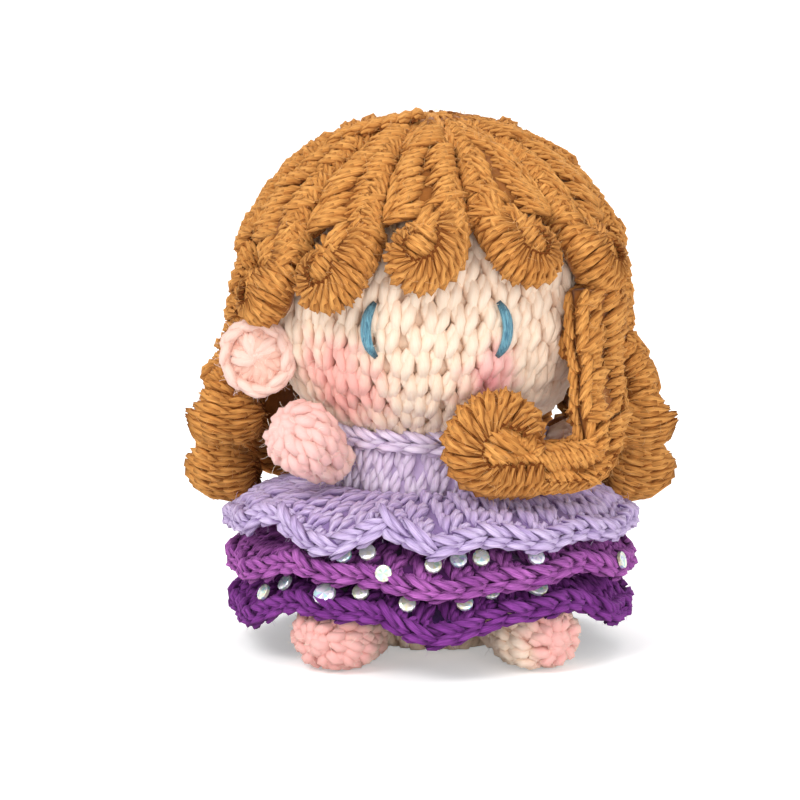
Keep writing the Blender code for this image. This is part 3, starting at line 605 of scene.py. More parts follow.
def body_yarn_piece(name, surface, length, materials, row, stitch, density,
                    lifts=(-0.0014, -0.0022), sides=24, steps=16):
    """Piece of crochet in rounds over a hollow wall, from its closed end to its opening."""
    stitches = []
    rows_of_v(stitches, surface, length, row, stitch, opens=1, plump=0.64, nested=0.50, raised=0.0003)
    backing = shell(name + "_backing", turned(surface, lifts, sides, steps))
    return crochet(name, backing, stitches, materials, density, rings=5, **skin_fluff)


def body_place(angle, share):
    """Point on the body cover from its base to its neck opening."""
    radius, height = body_outline(share)
    return around(radius, angle, height)


body_outline, length = measured(body_profile)
plain_yarn = (yarn("body_yarn", *cream_tones, (), 0.25, 0.10, 0.0, 0.5, 0.6), *face_yarn[1:])
body_surface = surfaced(body_place, axis + up(body_heart_z))
body_piece = body_yarn_piece("body_crochet", body_surface, length, plain_yarn, 0.0040, 0.0044,
                             0.5e5, lifts=(-0.0015, -0.0026))
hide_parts("body_cover")
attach(body_piece, "body")
stuffing("body_filling", "body")

# Legs and arms: short stuffed tubes worked from a rounded tip, each sewn to the body at its
# root. The feet and the raised hand are rubbed with pink.
limb_mouth_radius = 0.0019
body_radius = 0.0155
fit_gap = 0.0003
bodice_wall = 0.0022
sole_height = 0.0004


def limb_surface(pivot, direction, root_radius, reach, tip):
    """Surface round a limb from its tip to its root opening, and its length."""
    tip_width, tip_height, tip_length = tip
    outline = [(reach + tip_length, 0.0, 0.0)]
    for share in (0.985, 0.93, 0.82, 0.66, 0.45, 0.2, 0.0):
        shrink = sqrt(1.0 - share * share)
        outline.append((reach + tip_length * share, tip_width * shrink, tip_height * shrink))
    for share in (0.75, 0.45, 0.2):
        swell = share * share * (3 - 2 * share)
        outline.append((reach * share, root_radius + (tip_width - root_radius) * swell,
                        root_radius + (tip_height - root_radius) * swell))
    mouth = math.asin(limb_mouth_radius / root_radius)
    for share in (1.0, 0.75, 0.5, 0.25, 0.0):
        angle = mouth + (pi / 2 - mouth) * share
        outline.append((-root_radius * cos(angle), root_radius * sin(angle), root_radius * sin(angle)))
    level = direction.cross(up(1.0)).normalized()
    rise = level.cross(direction).normalized()
    outline_at, length = measured(outline)

    def place(angle, share):
        offset, width, height = outline_at(share)
        point = (pivot + direction * offset + level * width * cos(angle) + rise * height * sin(angle))
        point.z = max(point.z, sole_height)
        return point

    return surfaced(place, pivot + direction * reach * 0.5), length


foot_tip = (0.0074, 0.0061, 0.0070)
hand_tip = (0.0064, 0.0062, 0.0056)
tucked_tip = (0.0050, 0.0050, 0.0050)
arm_root_radius = 0.0037
leg_root_radius = 0.0052
arm_pivot_radius = body_radius + fit_gap + bodice_wall + fit_gap + arm_root_radius
leg_pivot_radius = body_radius + fit_gap + leg_root_radius
arm_height = 0.0326
leg_height = 0.0056
# Pink backing: inner yarn, darkened as painted shade in the gaps between stitches.
pink_nap = nap("pink_nap", "#eab09e", 0.86)
rubbed = ("#f8b4af", "#fcc4bf")
limb_plan = (
    ("right_leg", -34.0, -2.0, leg_root_radius, 0.0062, foot_tip, 0.0210),
    ("left_leg", 38.0, -2.0, leg_root_radius, 0.0062, foot_tip, 0.0085),
    ("right_arm", -47.0, 34.0, arm_root_radius, 0.0080, hand_tip, 0.0260),
    ("left_arm", 82.0, 18.0, arm_root_radius, 0.0022, tucked_tip, 0.0100),
)
for name, azimuth, tilt, root_radius, reach, tip, rub_radius in limb_plan:
    is_arm = name.endswith("arm")
    turn = radians(azimuth)
    rise = radians(tilt)
    pivot = around(arm_pivot_radius if is_arm else leg_pivot_radius, turn,
                   arm_height if is_arm else leg_height)
    direction = outward(turn) * cos(rise) + up(sin(rise))
    surface, length = limb_surface(pivot, direction, root_radius, reach, tip)
    far_end = pivot + direction * (reach + tip[2])
    limb_yarn = yarn(name + "_yarn", *cream_tones,
                     ((tuple(far_end), rub_radius, 0.92, rubbed[is_arm]),), 0.25, 0.10, 0.0, 0.5,
                     0.6)
    limb_backing_shade = face_yarn[1] if name == "left_leg" else pink_nap
    limb = body_yarn_piece(name + "_crochet", surface, length,
                           (limb_yarn, limb_backing_shade, face_yarn[2]), 0.0040, 0.0048, 2.0e5,
                           lifts=(-0.0013, -0.0021), sides=18)
    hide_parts(name)
    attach(limb, name)
    stuffing(name + "_filling", name)

# Ears: small cupped flaps of pink crochet, sewn on by one side; the left one is tucked between
# two locks.
# Pink tones: lighter, middle, and a deep tone that is painted shade between plies and under strands.
pink_yarn = (yarn("pink_yarn", "#fadccf", "#f5cdbf", "#e5b09c", (), 0.25, 0.10, 0.0, 0.5, 0.6),
             pink_nap, nap("pink_fluff", "#fbe3da", 0.96))
ear_cup_share = 0.62
ear_cup_depth_share = 0.65
ear_half_depth = 0.0020
left_ear_tuck = 0.0018
rim_step = pi / 5
for name, rows_high in (("right_ear", 0.0034), ("left_ear", 0.0030)):
    low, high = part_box(name)
    middle = (low + high) / 2
    outward_way = Vector((middle.x - axis.x, middle.y - axis.y, 0.0)).normalized()
    half_height = (high.z - low.z) / 2
    if name == "right_ear":
        wide_way = outward(radians(-105.0))
        half_width = 0.0057
    else:
        wide_way = outward_way
        half_width = 0.0030
        middle -= outward_way * left_ear_tuck
    front_way = up(1.0).cross(wide_way)
    if front_way.y > 0.0:
        front_way.negate()

    def ear_place(angle, share, middle=middle, wide_way=wide_way, front_way=front_way,
                  half_width=half_width, half_height=half_height):
        polar = pi * share
        across = sin(polar)
        depth = ear_half_depth * cos(polar)
        if share < 0.5 and across < ear_cup_share:
            depth *= ear_cup_depth_share
        return (middle + wide_way * half_width * across * cos(angle)
                + up(half_height * across * sin(angle))
                + front_way * depth)

    ear_surface = surfaced(ear_place, middle)
    stitches = []
    for width, start, end in ((0.0046, 0.0, 0.34), (0.0050, 0.62, 1.0)):
        rows_of_v(stitches, ear_surface, half_height * 2.1, rows_high, width, start, end,
                  plump=0.6, nested=0.50)
    for share in (0.40, 0.50, 0.60):
        for turn in range(10):
            angle = rim_step * (turn + shake(0.15)) + share * 4
            start, normal = ear_surface(angle, share, -0.0009)
            end, _ = ear_surface(angle + rim_step * 1.25, share, -0.0009)
            crest, _ = ear_surface(angle + rim_step * 0.6, share, 0.0)
            strand(stitches, start, end, (normal + front_way * 0.5).normalized(), 0.0024, None, crest)
    backing_rings = [ring_of(ear_surface, 16, step / 12, -0.0010) for step in range(13)]
    ear = crochet(name + "_crochet", shell(name + "_backing", backing_rings), stitches,
                  pink_yarn, 3.0e5, **skin_fluff)
    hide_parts(name)
    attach(ear, "head")

# Eyes: an upright satin stitch of three turns of teal floss on each side, pulled a little
# outwards at its middle. Each turn darkens towards its ends as painted shade.
floss, tree, shader = look("teal_floss")
floss_place = node(tree, "ShaderNodeTexCoord").outputs["Object"]
drawn_out = node(tree, "ShaderNodeVectorMath", (floss_place, (4200.0, 4200.0, 700.0)),
                 operation="MULTIPLY").outputs[0]
threads = ranged(tree, grain(tree, drawn_out, 1.0, Distortion=0.6), 0.36, 0.64)
floss_colour = mix(tree, threads, tone("#3b7086"), tone("#74aec0"))
# Painted shade: each turn of floss darkens towards its ends.
floss_colour = mix(tree, attribute(tree, "end_shade"), floss_colour, tone("#21434f"))
set_surface(tree, shader, floss_colour, threads, 0.7, 0.00015, Roughness=0.5, Sheen_Weight=0.2)


def tube(path, radius_at, sides):
    """Rings of a round strand along a path, thinner where its radius is."""
    rings = []
    for index, point in enumerate(path):
        ahead = (path[min(index + 1, len(path) - 1)] - path[max(index - 1, 0)]).normalized()
        level = ahead.orthogonal().normalized()
        rise = ahead.cross(level)
        radius = radius_at(index / (len(path) - 1))
        rings.append([point + (level * cos(2 * pi * side / sides)
                               + rise * sin(2 * pi * side / sides)) * radius
                      for side in range(sides)])
    return rings


def join_skin(shape, rings):
    """Add a closed skin through rings of points to a shape under work."""
    mesh = shell("skin", rings)
    shape.from_mesh(mesh)
    bpy.data.meshes.remove(mesh)


eye_length = 0.0090
eye_drop = 0.0012
eye_bow = 0.0011
eye_lift = 0.0011
thread_radius = 0.00042
thread_spacing = 0.00046
for name, azimuth in (("right_eye", -19.6), ("left_eye", 22.9)):
    outer = math.copysign(1.0, azimuth)
    eye_shape = bmesh.new()
    end_shadow_layer = []
    for thread, apart in enumerate((-thread_spacing, 0.0, thread_spacing)):
        path = []
        for step in range(13):
            share = step / 6 - 1
            rise = share * (eye_length - abs(apart)) / 2 - eye_drop
            polar = math.acos(rise / head_half_height)
            squeeze = 1.0 - 0.4 * abs(share) ** 3
            bow = outer * eye_bow * (1 - share * share) + apart * squeeze
            lift = eye_lift * (1.0 - 0.7 * abs(share) ** 4) + (0.00015 if thread == 1 else 0.0)
            path.append(over_head(radians(azimuth) + bow / head_radius, polar, lift))
            end_shadow_layer += [abs(share) ** 3] * 8
        join_skin(eye_shape, tube(
            path, lambda share: thread_radius * (1 - abs(2 * share - 1) ** 6 * 0.5), 8))
    mesh = meshed(eye_shape, name + "_floss")
    mesh.materials.append(floss)
    if len(end_shadow_layer) == len(mesh.vertices):
        mesh.attributes.new("end_shade", "FLOAT", "POINT").data.foreach_set("value", end_shadow_layer)
    eye = added(name + "_floss", mesh)
    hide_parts(name)
    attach(eye, "head")

# Wig crown: a small disc of ginger crochet on top of the head, where all the locks begin. One
# loose end of its yarn lies over it as a short rope.
strip_thickness = 0.0050
strip_gap = 0.0003
seat_gap = 0.0004
strip_lift = fit_gap + strip_thickness / 2
crown_radius = 0.0118
crown_polar = crown_radius / head_radius
# Ginger tones: lighter, middle, and a deep brown that is painted shade; the brown backing is inner yarn
# darkened as painted shade in the gaps.
hair_yarn = (yarn("ginger_yarn", "#fcb968", "#d48d44", "#73380d", groove_shade_share=0.75, fibre_shade_share=0.26),
             nap("ginger_nap", "#a9682c"), nap("ginger_fluff", "#e9b777", 0.9))
tail_knot_count = 7
tail_arch = 0.0003
tail_half_width = 0.0009


def crown_place(angle, share):
    """Point on the crown disc, up to just under the first stitches of the locks."""
    return over_head(angle, (crown_polar + 0.03) * share, fit_gap + strip_thickness * 0.9)


def crown_backing_place(angle, share, lift):
    """Point in the disc under the stitches, at a height over the head's wall."""
    return (over_head(angle, crown_polar * share, fit_gap + lift),)


head_heart = axis + up(head_centre_z)
crown_surface = surfaced(crown_place, head_heart)
stitches = []
rows_of_v(stitches, crown_surface, crown_radius, 0.0034, 0.0036)
rings = turned(crown_backing_place, (strip_thickness * 0.75, 0.0), 32, 6)
tail_knots = [over_head(radians(-16.0 - 9.0 * knot), radians(9.0 + 3.5 * knot),
                        fit_gap + strip_thickness
                        + tail_arch * sin(pi * knot / (tail_knot_count - 1)))
              for knot in range(tail_knot_count)]
for first, second in zip(tail_knots, tail_knots[1:]):
    tail_normal = (first - head_heart).normalized()
    over = (second - first).cross(tail_normal).normalized() * tail_half_width
    strand(stitches, first + over, second + (second - first) * 0.3 - over, tail_normal, 0.0023)
crown = crochet("wig_crown_crochet", shell("wig_crown_backing", rings), stitches, hair_yarn,
                1.6e5, plies=4)
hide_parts("wig_crown")
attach(crown, "head")

# Fringe locks: five strips of crochet from the crown over the forehead. A strip has a rope of
# slanting wraps along one edge, a chain along the other and puffy posts between, and its end is
# worked so full that it rolls up into a curl.
box_share = 0.58
lock_splay_share = 0.08
lock_pitch = 0.0004
curl_ring_radius = 0.0048
curl_half_width = 0.0024
curl_half_depth = 0.0034
curl_steps = 12
heart_reach = 0.0031
heart_height_share = 0.72
hair_strand = 0.0020
rope_pitch = 0.0015
rope_angles = (72.0, -34.0)
rope_end_gap = 0.0012
chain_pitch = 0.0027
chain_stitch = 0.0036
chain_end_gap = 0.0030
post_pitch = 0.0028
wide_columns = ((0.66, 0.0), (-0.04, -0.74))
narrow_column = ((0.66, -0.70),)
fan_pitch = 0.00145
fan_angles = (98.0, 164.0)
fan_end_gap = 0.0008
rim_pitch = 0.0014
rim_angles = (96.0, -48.0)
turn_in_shares = ((0.30, 1.75, 2.1), (0.80, 0.85, 1.45))


def bent(before, first, second, after, share):
    """Value on a smooth run between two of four values."""
    return 0.5 * (2 * first + (second - before) * share
                  + (2 * before - 5 * first + 4 * second - after) * share ** 2
                  + (3 * first - before - 3 * second + after) * share ** 3)


def even_lock(stations):
    """Even frames through stations: centre, across, outside, half width and half thickness."""
    last = len(stations) - 1
    fine = []
    for index in range(last):
        knots = [stations[min(last, max(0, index + shift))] for shift in (-1, 0, 1, 2)]
        for step in range(12):
            fine.append([bent(*values, step / 12) for values in zip(*knots)])
    fine.append(list(stations[-1]))
    even = []
    passed = 0.0
    wanted = 0.0
    for first, second in zip(fine, fine[1:]):
        span = (second[0] - first[0]).length
        while span > 0.0 and wanted <= passed + span:
            share = (wanted - passed) / span
            even.append([low + (high - low) * share for low, high in zip(first, second)])
            wanted += lock_pitch
        passed += span
    frames = []
    for index, (centre, normal, half_width, half_thickness) in enumerate(even):
        ahead = even[min(index + 1, len(even) - 1)][0] - even[max(index - 1, 0)][0]
        across = normal.cross(ahead).normalized()
        frames.append((centre, across, ahead.cross(across).normalized(), half_width, half_thickness))
    return frames


def on_lock(lock, way, angle, lift=0.0):
    """Point and normal at an angle round a lock: 0 and 180 are its edges, 90 is its face."""
    position = min(max(way / lock_pitch, 0.0), len(lock) - 1.001)
    index = int(position)
    share = position - index
    centre, across, outside, half_width, half_thickness = (
        first + (second - first) * share for first, second in zip(lock[index], lock[index + 1]))
    turn = radians(angle)
    wide = math.copysign(abs(cos(turn)) ** box_share, cos(turn))
    deep = math.copysign(abs(sin(turn)) ** box_share, sin(turn))
    full = min(1.0, max(0.0, half_width / curl_half_width - 1.0))
    splay = 1.0 + lock_splay_share * full * (1.0 + deep)
    point = (centre + across * (half_width * splay + lift) * wide
             + outside * (half_thickness + lift) * deep)
    steep = 2.0 - box_share
    normal = (across * math.copysign(abs(wide) ** (steep / box_share), wide) / half_width
              + outside * math.copysign(abs(deep) ** (steep / box_share), deep) / half_thickness)
    return point, normal.normalized()


def angle_at(share):
    """Angle round a lock that lies a share of its half width across its face."""
    return math.degrees(math.acos(math.copysign(abs(share) ** (1 / box_share), share)))


def work_lock(stitches, lock, fan_from, side, both_faces=False):
    """Rope edge, puffy posts and chain edge of a lock; past a way its posts fan into a curl."""
    length = (len(lock) - 1) * lock_pitch
    flips = (False, True) if both_faces else (False,)

    def wide_at(way):
        return lock[min(int(way / lock_pitch), len(lock) - 1)][3]

    def lay(way, reach, first, last, width, lift=0.0, bowed=0, flip=False):
        first += shake(4.0)
        last += shake(4.0)
        if side < 0:
            first, last = 180.0 - first, 180.0 - last
        if flip:
            first, last = -first, -last
        start = on_lock(lock, way, first, lift)[0]
        end = on_lock(lock, way + reach, last, lift)[0]
        crest, normal = on_lock(lock, way + reach / 2, (first + last) / 2, lift)
        strand(stitches, start, end, normal, width, None, crest, bowed)

    way = 0.0
    while way < min(fan_from, length - rope_end_gap):
        wrap = min(hair_strand, wide_at(way) * 0.85)
        lay(way, 0.0017 + shake(0.0003), *rope_angles, wrap, -0.0007, 1)
        way += rope_pitch * draws.uniform(0.88, 1.12)
    way = 0.0
    while way < min(fan_from, length - chain_end_gap):
        wrap = min(0.0019, wide_at(way) * 0.85)
        for shift, angles in ((0.0, (136.0, 168.0)), (0.0006, (212.0, 184.0))):
            lay(way + shift, chain_stitch, *angles, wrap, -0.0005)
        way += chain_pitch
    way = 0.0
    while way < min(fan_from, length - rope_end_gap):
        half_width = wide_at(way)
        columns = wide_columns if half_width > 0.0032 else narrow_column
        for first, last in columns if half_width >= 0.0016 else ():
            puff = draws.uniform(-0.0007, 0.0004)
            twist = draws.uniform(-0.0004, 0.0010)
            for shift in (0.0, post_pitch / 2):
                for flip in flips:
                    lay(way + shift, 0.0022 + twist, angle_at(first), angle_at(last), hair_strand,
                        puff + shake(0.0002), 1, flip)
        way += post_pitch * draws.uniform(0.92, 1.08)
    way = fan_from
    while way < length - fan_end_gap:
        half_width = wide_at(way)
        for flip in flips:
            lay(way, min(0.0024, half_width), *fan_angles, min(0.0021, half_width),
                draws.uniform(-0.0009, -0.0003), 1, flip)
        way += fan_pitch
    way = fan_from
    while way < length - chain_end_gap:
        rim = min(0.0024, wide_at(way) * 0.95)
        lay(way, 0.0012, *rim_angles, rim, -0.0005, 2)
        if both_faces:
            lay(way + rim_pitch / 2, 0.0012, *rim_angles, rim, -0.0007, 2, True)
        way += rim_pitch


def curl_heart(stitches, joined, heart, both_faces):
    """Last stitches of a curl, laid side by side over a small mound at its middle."""
    centre, normal, across, upward, side, reach, height = heart
    slant = across * 0.8 - upward * 0.6 * side
    aside = across * 0.6 * side + upward * 0.8
    for facing in ((1, -1) if both_faces else (1,)):
        top = normal * facing * height
        ways = [across * cos(pi * turn / 6) + upward * sin(pi * turn / 6) for turn in range(12)]
        rings = [[centre + top * cos(pi / 8 * step)
                  + way * reach * (sin(pi / 8 * step) + 0.02) for way in ways]
                 for step in range(5)]
        rings.append([centre - top * 0.4 + way * reach * 0.9 for way in ways])
        join_skin(joined, rings)
        for turn in range(5):
            shift = 0.42 * (turn - 2) + shake(0.07)
            span = sqrt(1.0 - 0.7 * shift ** 2) + draws.uniform(-0.05, 0.08)
            strand(stitches, centre + top * 0.6 + (aside * shift - slant * span) * reach,
                   centre + top * 0.6 + (aside * (shift + 0.25) + slant * span) * reach,
                   (normal * facing + aside * shift * 0.4).normalized(), reach * 0.64, None,
                   centre + top * (1.2 - 0.2 * abs(shift)) + aside * (shift + 0.12) * reach, 1)


def lock_piece(name, runs, heart=None, density=1.2e5):
    """One lock from runs of (frames, way where it starts to fan, rope side, both faces)."""
    stitches = []
    joined = bmesh.new()
    if heart:
        curl_heart(stitches, joined, heart, runs[-1][3])
    for lock, fan_from, side, both_faces in runs:
        work_lock(stitches, lock, fan_from, side, both_faces)
        rings = []
        last = (len(lock) - 1) * lock_pitch
        count = max(6, int(last / 0.0012))
        tail = 0.0014 if fan_from > last else 0.0
        for index in range(count + 1):
            way = (last - tail) * index / count
            half_width = lock[min(int(way / lock_pitch), len(lock) - 1)][3]
            inset = -min(0.0009, half_width * 0.4)
            rings.append([on_lock(lock, way, 360.0 * side_index / 12, inset)[0]
                          for side_index in range(12)])
        join_skin(joined, rings)
    return crochet(name, meshed(joined, name + "_backing"), stitches, hair_yarn, density, 0.0015,
                   plies=4, rings=5)


def gore_half_width(polar, half_sector):
    """Half the width of a strip that fills its sector of the head."""
    return (head_radius + fit_gap) * sin(polar) * math.tan(half_sector) - strip_gap / 2


def gore_stations(azimuth, half_sector, start_polar, end_polar, count):
    """Strip over the head down its sector."""
    stations = []
    for index in range(count):
        polar = start_polar + (end_polar - start_polar) * index / (count - 1)
        half_width = gore_half_width(polar, half_sector)
        half_thickness = min(strip_thickness / 2, half_width * 0.8)
        stations.append((over_head(azimuth, polar, fit_gap + strip_thickness - half_thickness),
                         head_normal(azimuth, polar), half_width, half_thickness))
    return stations


def curl_stations(centre, normal, across, upward, side, size_share=1.0, fullness=1.0):
    """Snail curl in a plane: a held quarter turn, then an even shrinking spiral."""
    stations = []
    for step in range(curl_steps + 1):
        degrees = 450.0 * step / curl_steps
        shrink = size_share * 0.10 ** (max(0.0, degrees - 120.0) / 360.0)
        angle = radians(degrees)
        arm = across * side * cos(angle) - upward * sin(angle)
        stations.append((centre + arm * curl_ring_radius * shrink, normal,
                         curl_half_width * shrink,
                         curl_half_depth * fullness * (1.0 - 0.35 * step / curl_steps)))
    return stations


lock_start_polar = 0.13
fringe_edges = (-76.0, -45.5, -17.5, 13.0, 46.0, 77.0)
fringe_curls = ((-59.5, 82.5, 1, 0.84, 2.4, 1.3), (-32.5, 73.0, 1, 1.0, 1.9, 1.05),
                (-4.0, 65.0, 1, 1.05, 1.6, 0.9), (31.5, 65.0, -1, 1.0, 1.6, 0.9),
                (62.5, 71.0, -1, 0.95, 1.9, 1.0))
for index, (degrees, polar_degrees, side, size_share, entry_share, end_share) in enumerate(fringe_curls):
    low = radians(fringe_edges[index])
    high = radians(fringe_edges[index + 1])
    turn = radians(degrees)
    polar = radians(polar_degrees)
    strip_end = polar - end_share * curl_ring_radius / head_radius
    strip = gore_stations((low + high) / 2, (high - low) / 2, lock_start_polar, strip_end, 5)
    level_radius = head_radius * sin(polar)
    entry = []
    for across_share, up_share, width_share in turn_in_shares:
        drift = side * across_share * curl_ring_radius / level_radius
        rise = up_share * 0.41 * entry_share * curl_ring_radius / head_radius
        entry.append((over_head(turn + drift, polar - rise, strip_lift + 0.0006),
                      head_normal(turn + drift, polar - rise),
                      curl_half_width * width_share, strip_thickness / 2))
    normal = head_normal(turn, polar)
    across = sideways(turn)
    upward = normal.cross(across)
    if upward.z < 0.0:
        upward.negate()
    centre = over_head(turn, polar, fit_gap + curl_half_depth)
    curl = curl_stations(centre, normal, across, upward, side, size_share)
    strip_lock = even_lock(strip)
    curl_lock = even_lock(entry + curl)
    name = "fringe_lock_%d" % (index + 1)
    lock = lock_piece(name + "_crochet", ((strip_lock, 1.0, side, False),
                                          (curl_lock, 0.003, side, False)),
                      (centre, normal, across, upward, side, heart_reach * size_share,
                       curl_half_depth * heart_height_share))
    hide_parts(name)
    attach(lock, "head")

# Long locks: nine strips from temple to temple round the back, worked like the fringe and much
# longer. The two on each side hang free below the temples, and the five behind rest on the
# ruffle.
tier_hem_radius = 0.0317
tier_front_reach = 0.0024
tier_thickness = 0.0026
tier_top_z = 0.0262
tier_drop = 0.0052
tier_spacing = 0.0066
tier_front_lift = 0.0022
tier_step_in = 0.0005
fold_count = 12
fold_depth = 0.0008
fold_height = 0.0006
sway_height = 0.0010
purple_back_drop = 0.0026
curl_rest_gap = 0.0007
ringlet_half_width = 0.0048
ringlet_flare = 0.0036
dress_radius = body_radius + fit_gap + bodice_wall + seat_gap


def tier_hem_radius_at(azimuth, tier_index=0):
    """Mean radius of a hem, further forward in front and smaller down the dress."""
    return tier_hem_radius + tier_front_reach * cos(azimuth) - tier_step_in * tier_index


def tier_profile_z(tier_index, azimuth, share):
    """Height of a tier's mid surface at a share of its quarter ellipse."""
    top = tier_top_z - tier_index * tier_spacing
    sway = cos(5 * (azimuth - radians(2.0)))
    hem = top - tier_drop + tier_front_lift * cos(azimuth)
    hem -= sway_height * tier_index * sway
    if tier_index == 2:
        hem -= purple_back_drop * ((1 - cos(azimuth)) / 2) ** 2
    top += tier_front_lift * cos(azimuth) / 2
    return hem + (top - hem) * cos(share * pi / 2)


def lilac_top(azimuth, radius):
    """Highest that the upper tier comes at a radius, folds included."""
    share = (radius - dress_radius) / (tier_hem_radius_at(azimuth) - dress_radius)
    angle_share = math.asin(min(1.0, max(0.0, share))) / (pi / 2)
    return tier_profile_z(0, azimuth, angle_share) + tier_thickness / 2 + fold_height


def ringlet_stations(start_azimuth, azimuth, top, curl_radius, curl_z, side, size_share):
    """Hanging lock from its top point (radius, height) down to a curl."""
    top_radius, top_z = top
    normal = outward(azimuth)
    across = sideways(azimuth)
    upward = up(1.0)
    centre = around(curl_radius, azimuth, curl_z)
    stations = []
    entry_z = curl_z + 2.2 * curl_ring_radius * size_share
    for index in range(3):
        share = index / 3
        swing = share ** 2.2
        turn = start_azimuth + (azimuth - start_azimuth) * swing
        stations.append((around(top_radius + (curl_radius - top_radius) * swing, turn,
                                top_z + (entry_z - top_z) * share), outward(turn),
                         ringlet_half_width, strip_thickness / 2))
    for across_share, up_share, width_share in turn_in_shares:
        point = centre + across * side * across_share * curl_ring_radius * size_share
        point += upward * up_share * curl_ring_radius * size_share
        stations.append((point, normal, curl_half_width * width_share * size_share,
                         (strip_thickness / 2 + curl_half_depth) / 2))
    heart = (centre, normal, across, upward, side, heart_reach * size_share,
             curl_half_depth * heart_height_share)
    return stations + curl_stations(centre, normal, across, upward, side, size_share, 1.25), heart


def lock_length(stations, count):
    """Way along a lock from its start to one of its stations."""
    return sum((second[0] - first[0]).length
               for first, second in zip(stations[:count], stations[1:count + 1]))


long_locks = (("right_lock_1", -5.5), ("right_lock_2", -3.5), ("back_lock_1", 0.0),
              ("back_lock_2", 0.0), ("back_lock_3", 0.0), ("back_lock_4", 0.0),
              ("back_lock_5", 0.0), ("left_lock_2", 3.0), ("left_lock_1", 0.0))
sector = (360.0 + fringe_edges[0] - fringe_edges[-1]) / len(long_locks)
half_sector = radians(sector / 2)
strip_radius = head_radius + strip_lift
hinge_z = head_centre_z - strip_thickness / 2 - strip_gap
hinge_blend = 0.0022
for index, (name, drift) in enumerate(long_locks):
    azimuth = radians(fringe_edges[0] - sector * (index + 0.5))
    end_azimuth = azimuth + radians(drift)
    side = 1 if sin(azimuth) < 0.0 else -1
    is_back = name.startswith("back")
    curl_radius = head_radius + strip_lift + ringlet_flare
    size_share = 1.0
    if name in ("right_lock_2", "left_lock_2"):
        hem = tier_hem_radius_at(end_azimuth) + tier_thickness / 2 + fold_depth
        curl_radius = hem + curl_rest_gap + curl_half_depth
        curl_z = tier_top_z - tier_drop + 0.0056
        size_share = 0.85
    elif is_back:
        curl_z = lilac_top(end_azimuth, curl_radius - curl_half_depth)
        curl_z += curl_rest_gap + curl_ring_radius + curl_half_width + 0.0012 * (1 + index % 2)
    else:
        curl_z = tier_top_z + 0.0113
        size_share = 0.74
    strip = gore_stations(azimuth, half_sector, lock_start_polar, pi / 2, 6)
    top = (strip_radius, head_centre_z if is_back else hinge_z)
    ringlet, heart = ringlet_stations(azimuth, end_azimuth, top, curl_radius, curl_z, side, size_share)
    stations = strip + ringlet[1:]
    fan_from = lock_length(stations, len(stations) - curl_steps - 2)
    lock = lock_piece(name + "_crochet", ((even_lock(stations), fan_from, side, not is_back),), heart)
    if is_back:
        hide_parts(name)
        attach(lock, "head")
    else:
        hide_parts(name + "_strip", name + "_ringlet")
        hinge = around(strip_radius, azimuth, hinge_z)
        reach = up(hinge_blend)
        ringlet = name.replace("lock", "ringlet")
        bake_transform(lock)

# Hook lock: one thick lock over the doll's left shoulder. It hangs from under the last fringe
# curl, lies along the ruffle and rolls up into a hook.
hook_half_width = 0.0038
hook_half_depth = 0.0031
hook_bend_radius = 0.0043
hook_rest_gap = 0.0019
hook_heart_reach = 0.0038
hook_bulb_stations = 11
hook_centre_x = 0.0104
hook_top_half_width = 0.0059
hook_shoulder_radius = 0.0334
top_azimuth = radians(60.0)
low_azimuth = radians(52.5)
last_curl_polar = radians(71.0)
curl_foot = over_head(top_azimuth, last_curl_polar, 0.0).z - curl_ring_radius - curl_half_width
root_top = curl_foot - fit_gap - curl_half_width / 2
root_end = root_top - 0.0034
hook_hinge_z = root_end - strip_gap - strip_thickness / 2
stations = []
for height in (root_top + 0.0045, root_top, (root_top + root_end) / 2):
    stations.append((around(strip_radius, top_azimuth, height), outward(top_azimuth),
                     hook_top_half_width + 0.0006, strip_thickness / 2))
front_radius = hook_shoulder_radius - 1.6 * hook_half_depth
band_z = lilac_top(low_azimuth, front_radius) + hook_rest_gap + hook_half_width
bend_z = band_z + hook_bend_radius
for share in (0.0, 0.33, 0.66):
    turn = top_azimuth + (low_azimuth - top_azimuth) * share
    radius = strip_radius + (hook_shoulder_radius - strip_radius) * share ** 0.7
    height = hook_hinge_z + (bend_z + hook_bend_radius - hook_hinge_z) * share / 0.66
    stations.append((around(radius, turn, height), outward(turn), hook_top_half_width,
                     strip_thickness / 2))
shoulder_x = hook_shoulder_radius * sin(low_azimuth)
route = [(shoulder_x - hook_bend_radius * (1 - cos(pi / 8 * step)),
          bend_z - hook_bend_radius * sin(pi / 8 * step)) for step in range(4)]
run_start = shoulder_x - hook_bend_radius
route += [(run_start, band_z), ((run_start + hook_centre_x) / 2, band_z)]
route += [(hook_centre_x - hook_bend_radius * sin(radians(205.0 * step / 6)),
           bend_z - hook_bend_radius * cos(radians(205.0 * step / 6)))
          for step in range(7)]
widths = [hook_half_width] * len(route)
for across, upward, shrink in ((0.95, 0.50, 0.86), (1.30, 0.08, 0.66), (1.45, -0.35, 0.45)):
    route.append((hook_centre_x + hook_bend_radius * across, bend_z + hook_bend_radius * upward))
    widths.append(hook_half_width * shrink)
for (across, height), half_width in zip(route, widths):
    share = min(1.0, max(0.0, (across - hook_centre_x) / (shoulder_x - hook_centre_x)))
    radius = front_radius + (hook_shoulder_radius - front_radius) * share
    radius += 0.0018 * (1.0 - half_width / hook_half_width)
    turn = math.asin(across / radius)
    stations.append((around(radius, turn, height), outward(turn), half_width, hook_half_depth))
fan_from = lock_length(stations, len(stations) - hook_bulb_stations)
hook_turn = math.asin(hook_centre_x / front_radius)
hook_heart = (around(front_radius, hook_turn, bend_z), outward(hook_turn), sideways(hook_turn),
              up(1.0), 1, hook_heart_reach, hook_half_depth * 0.95)
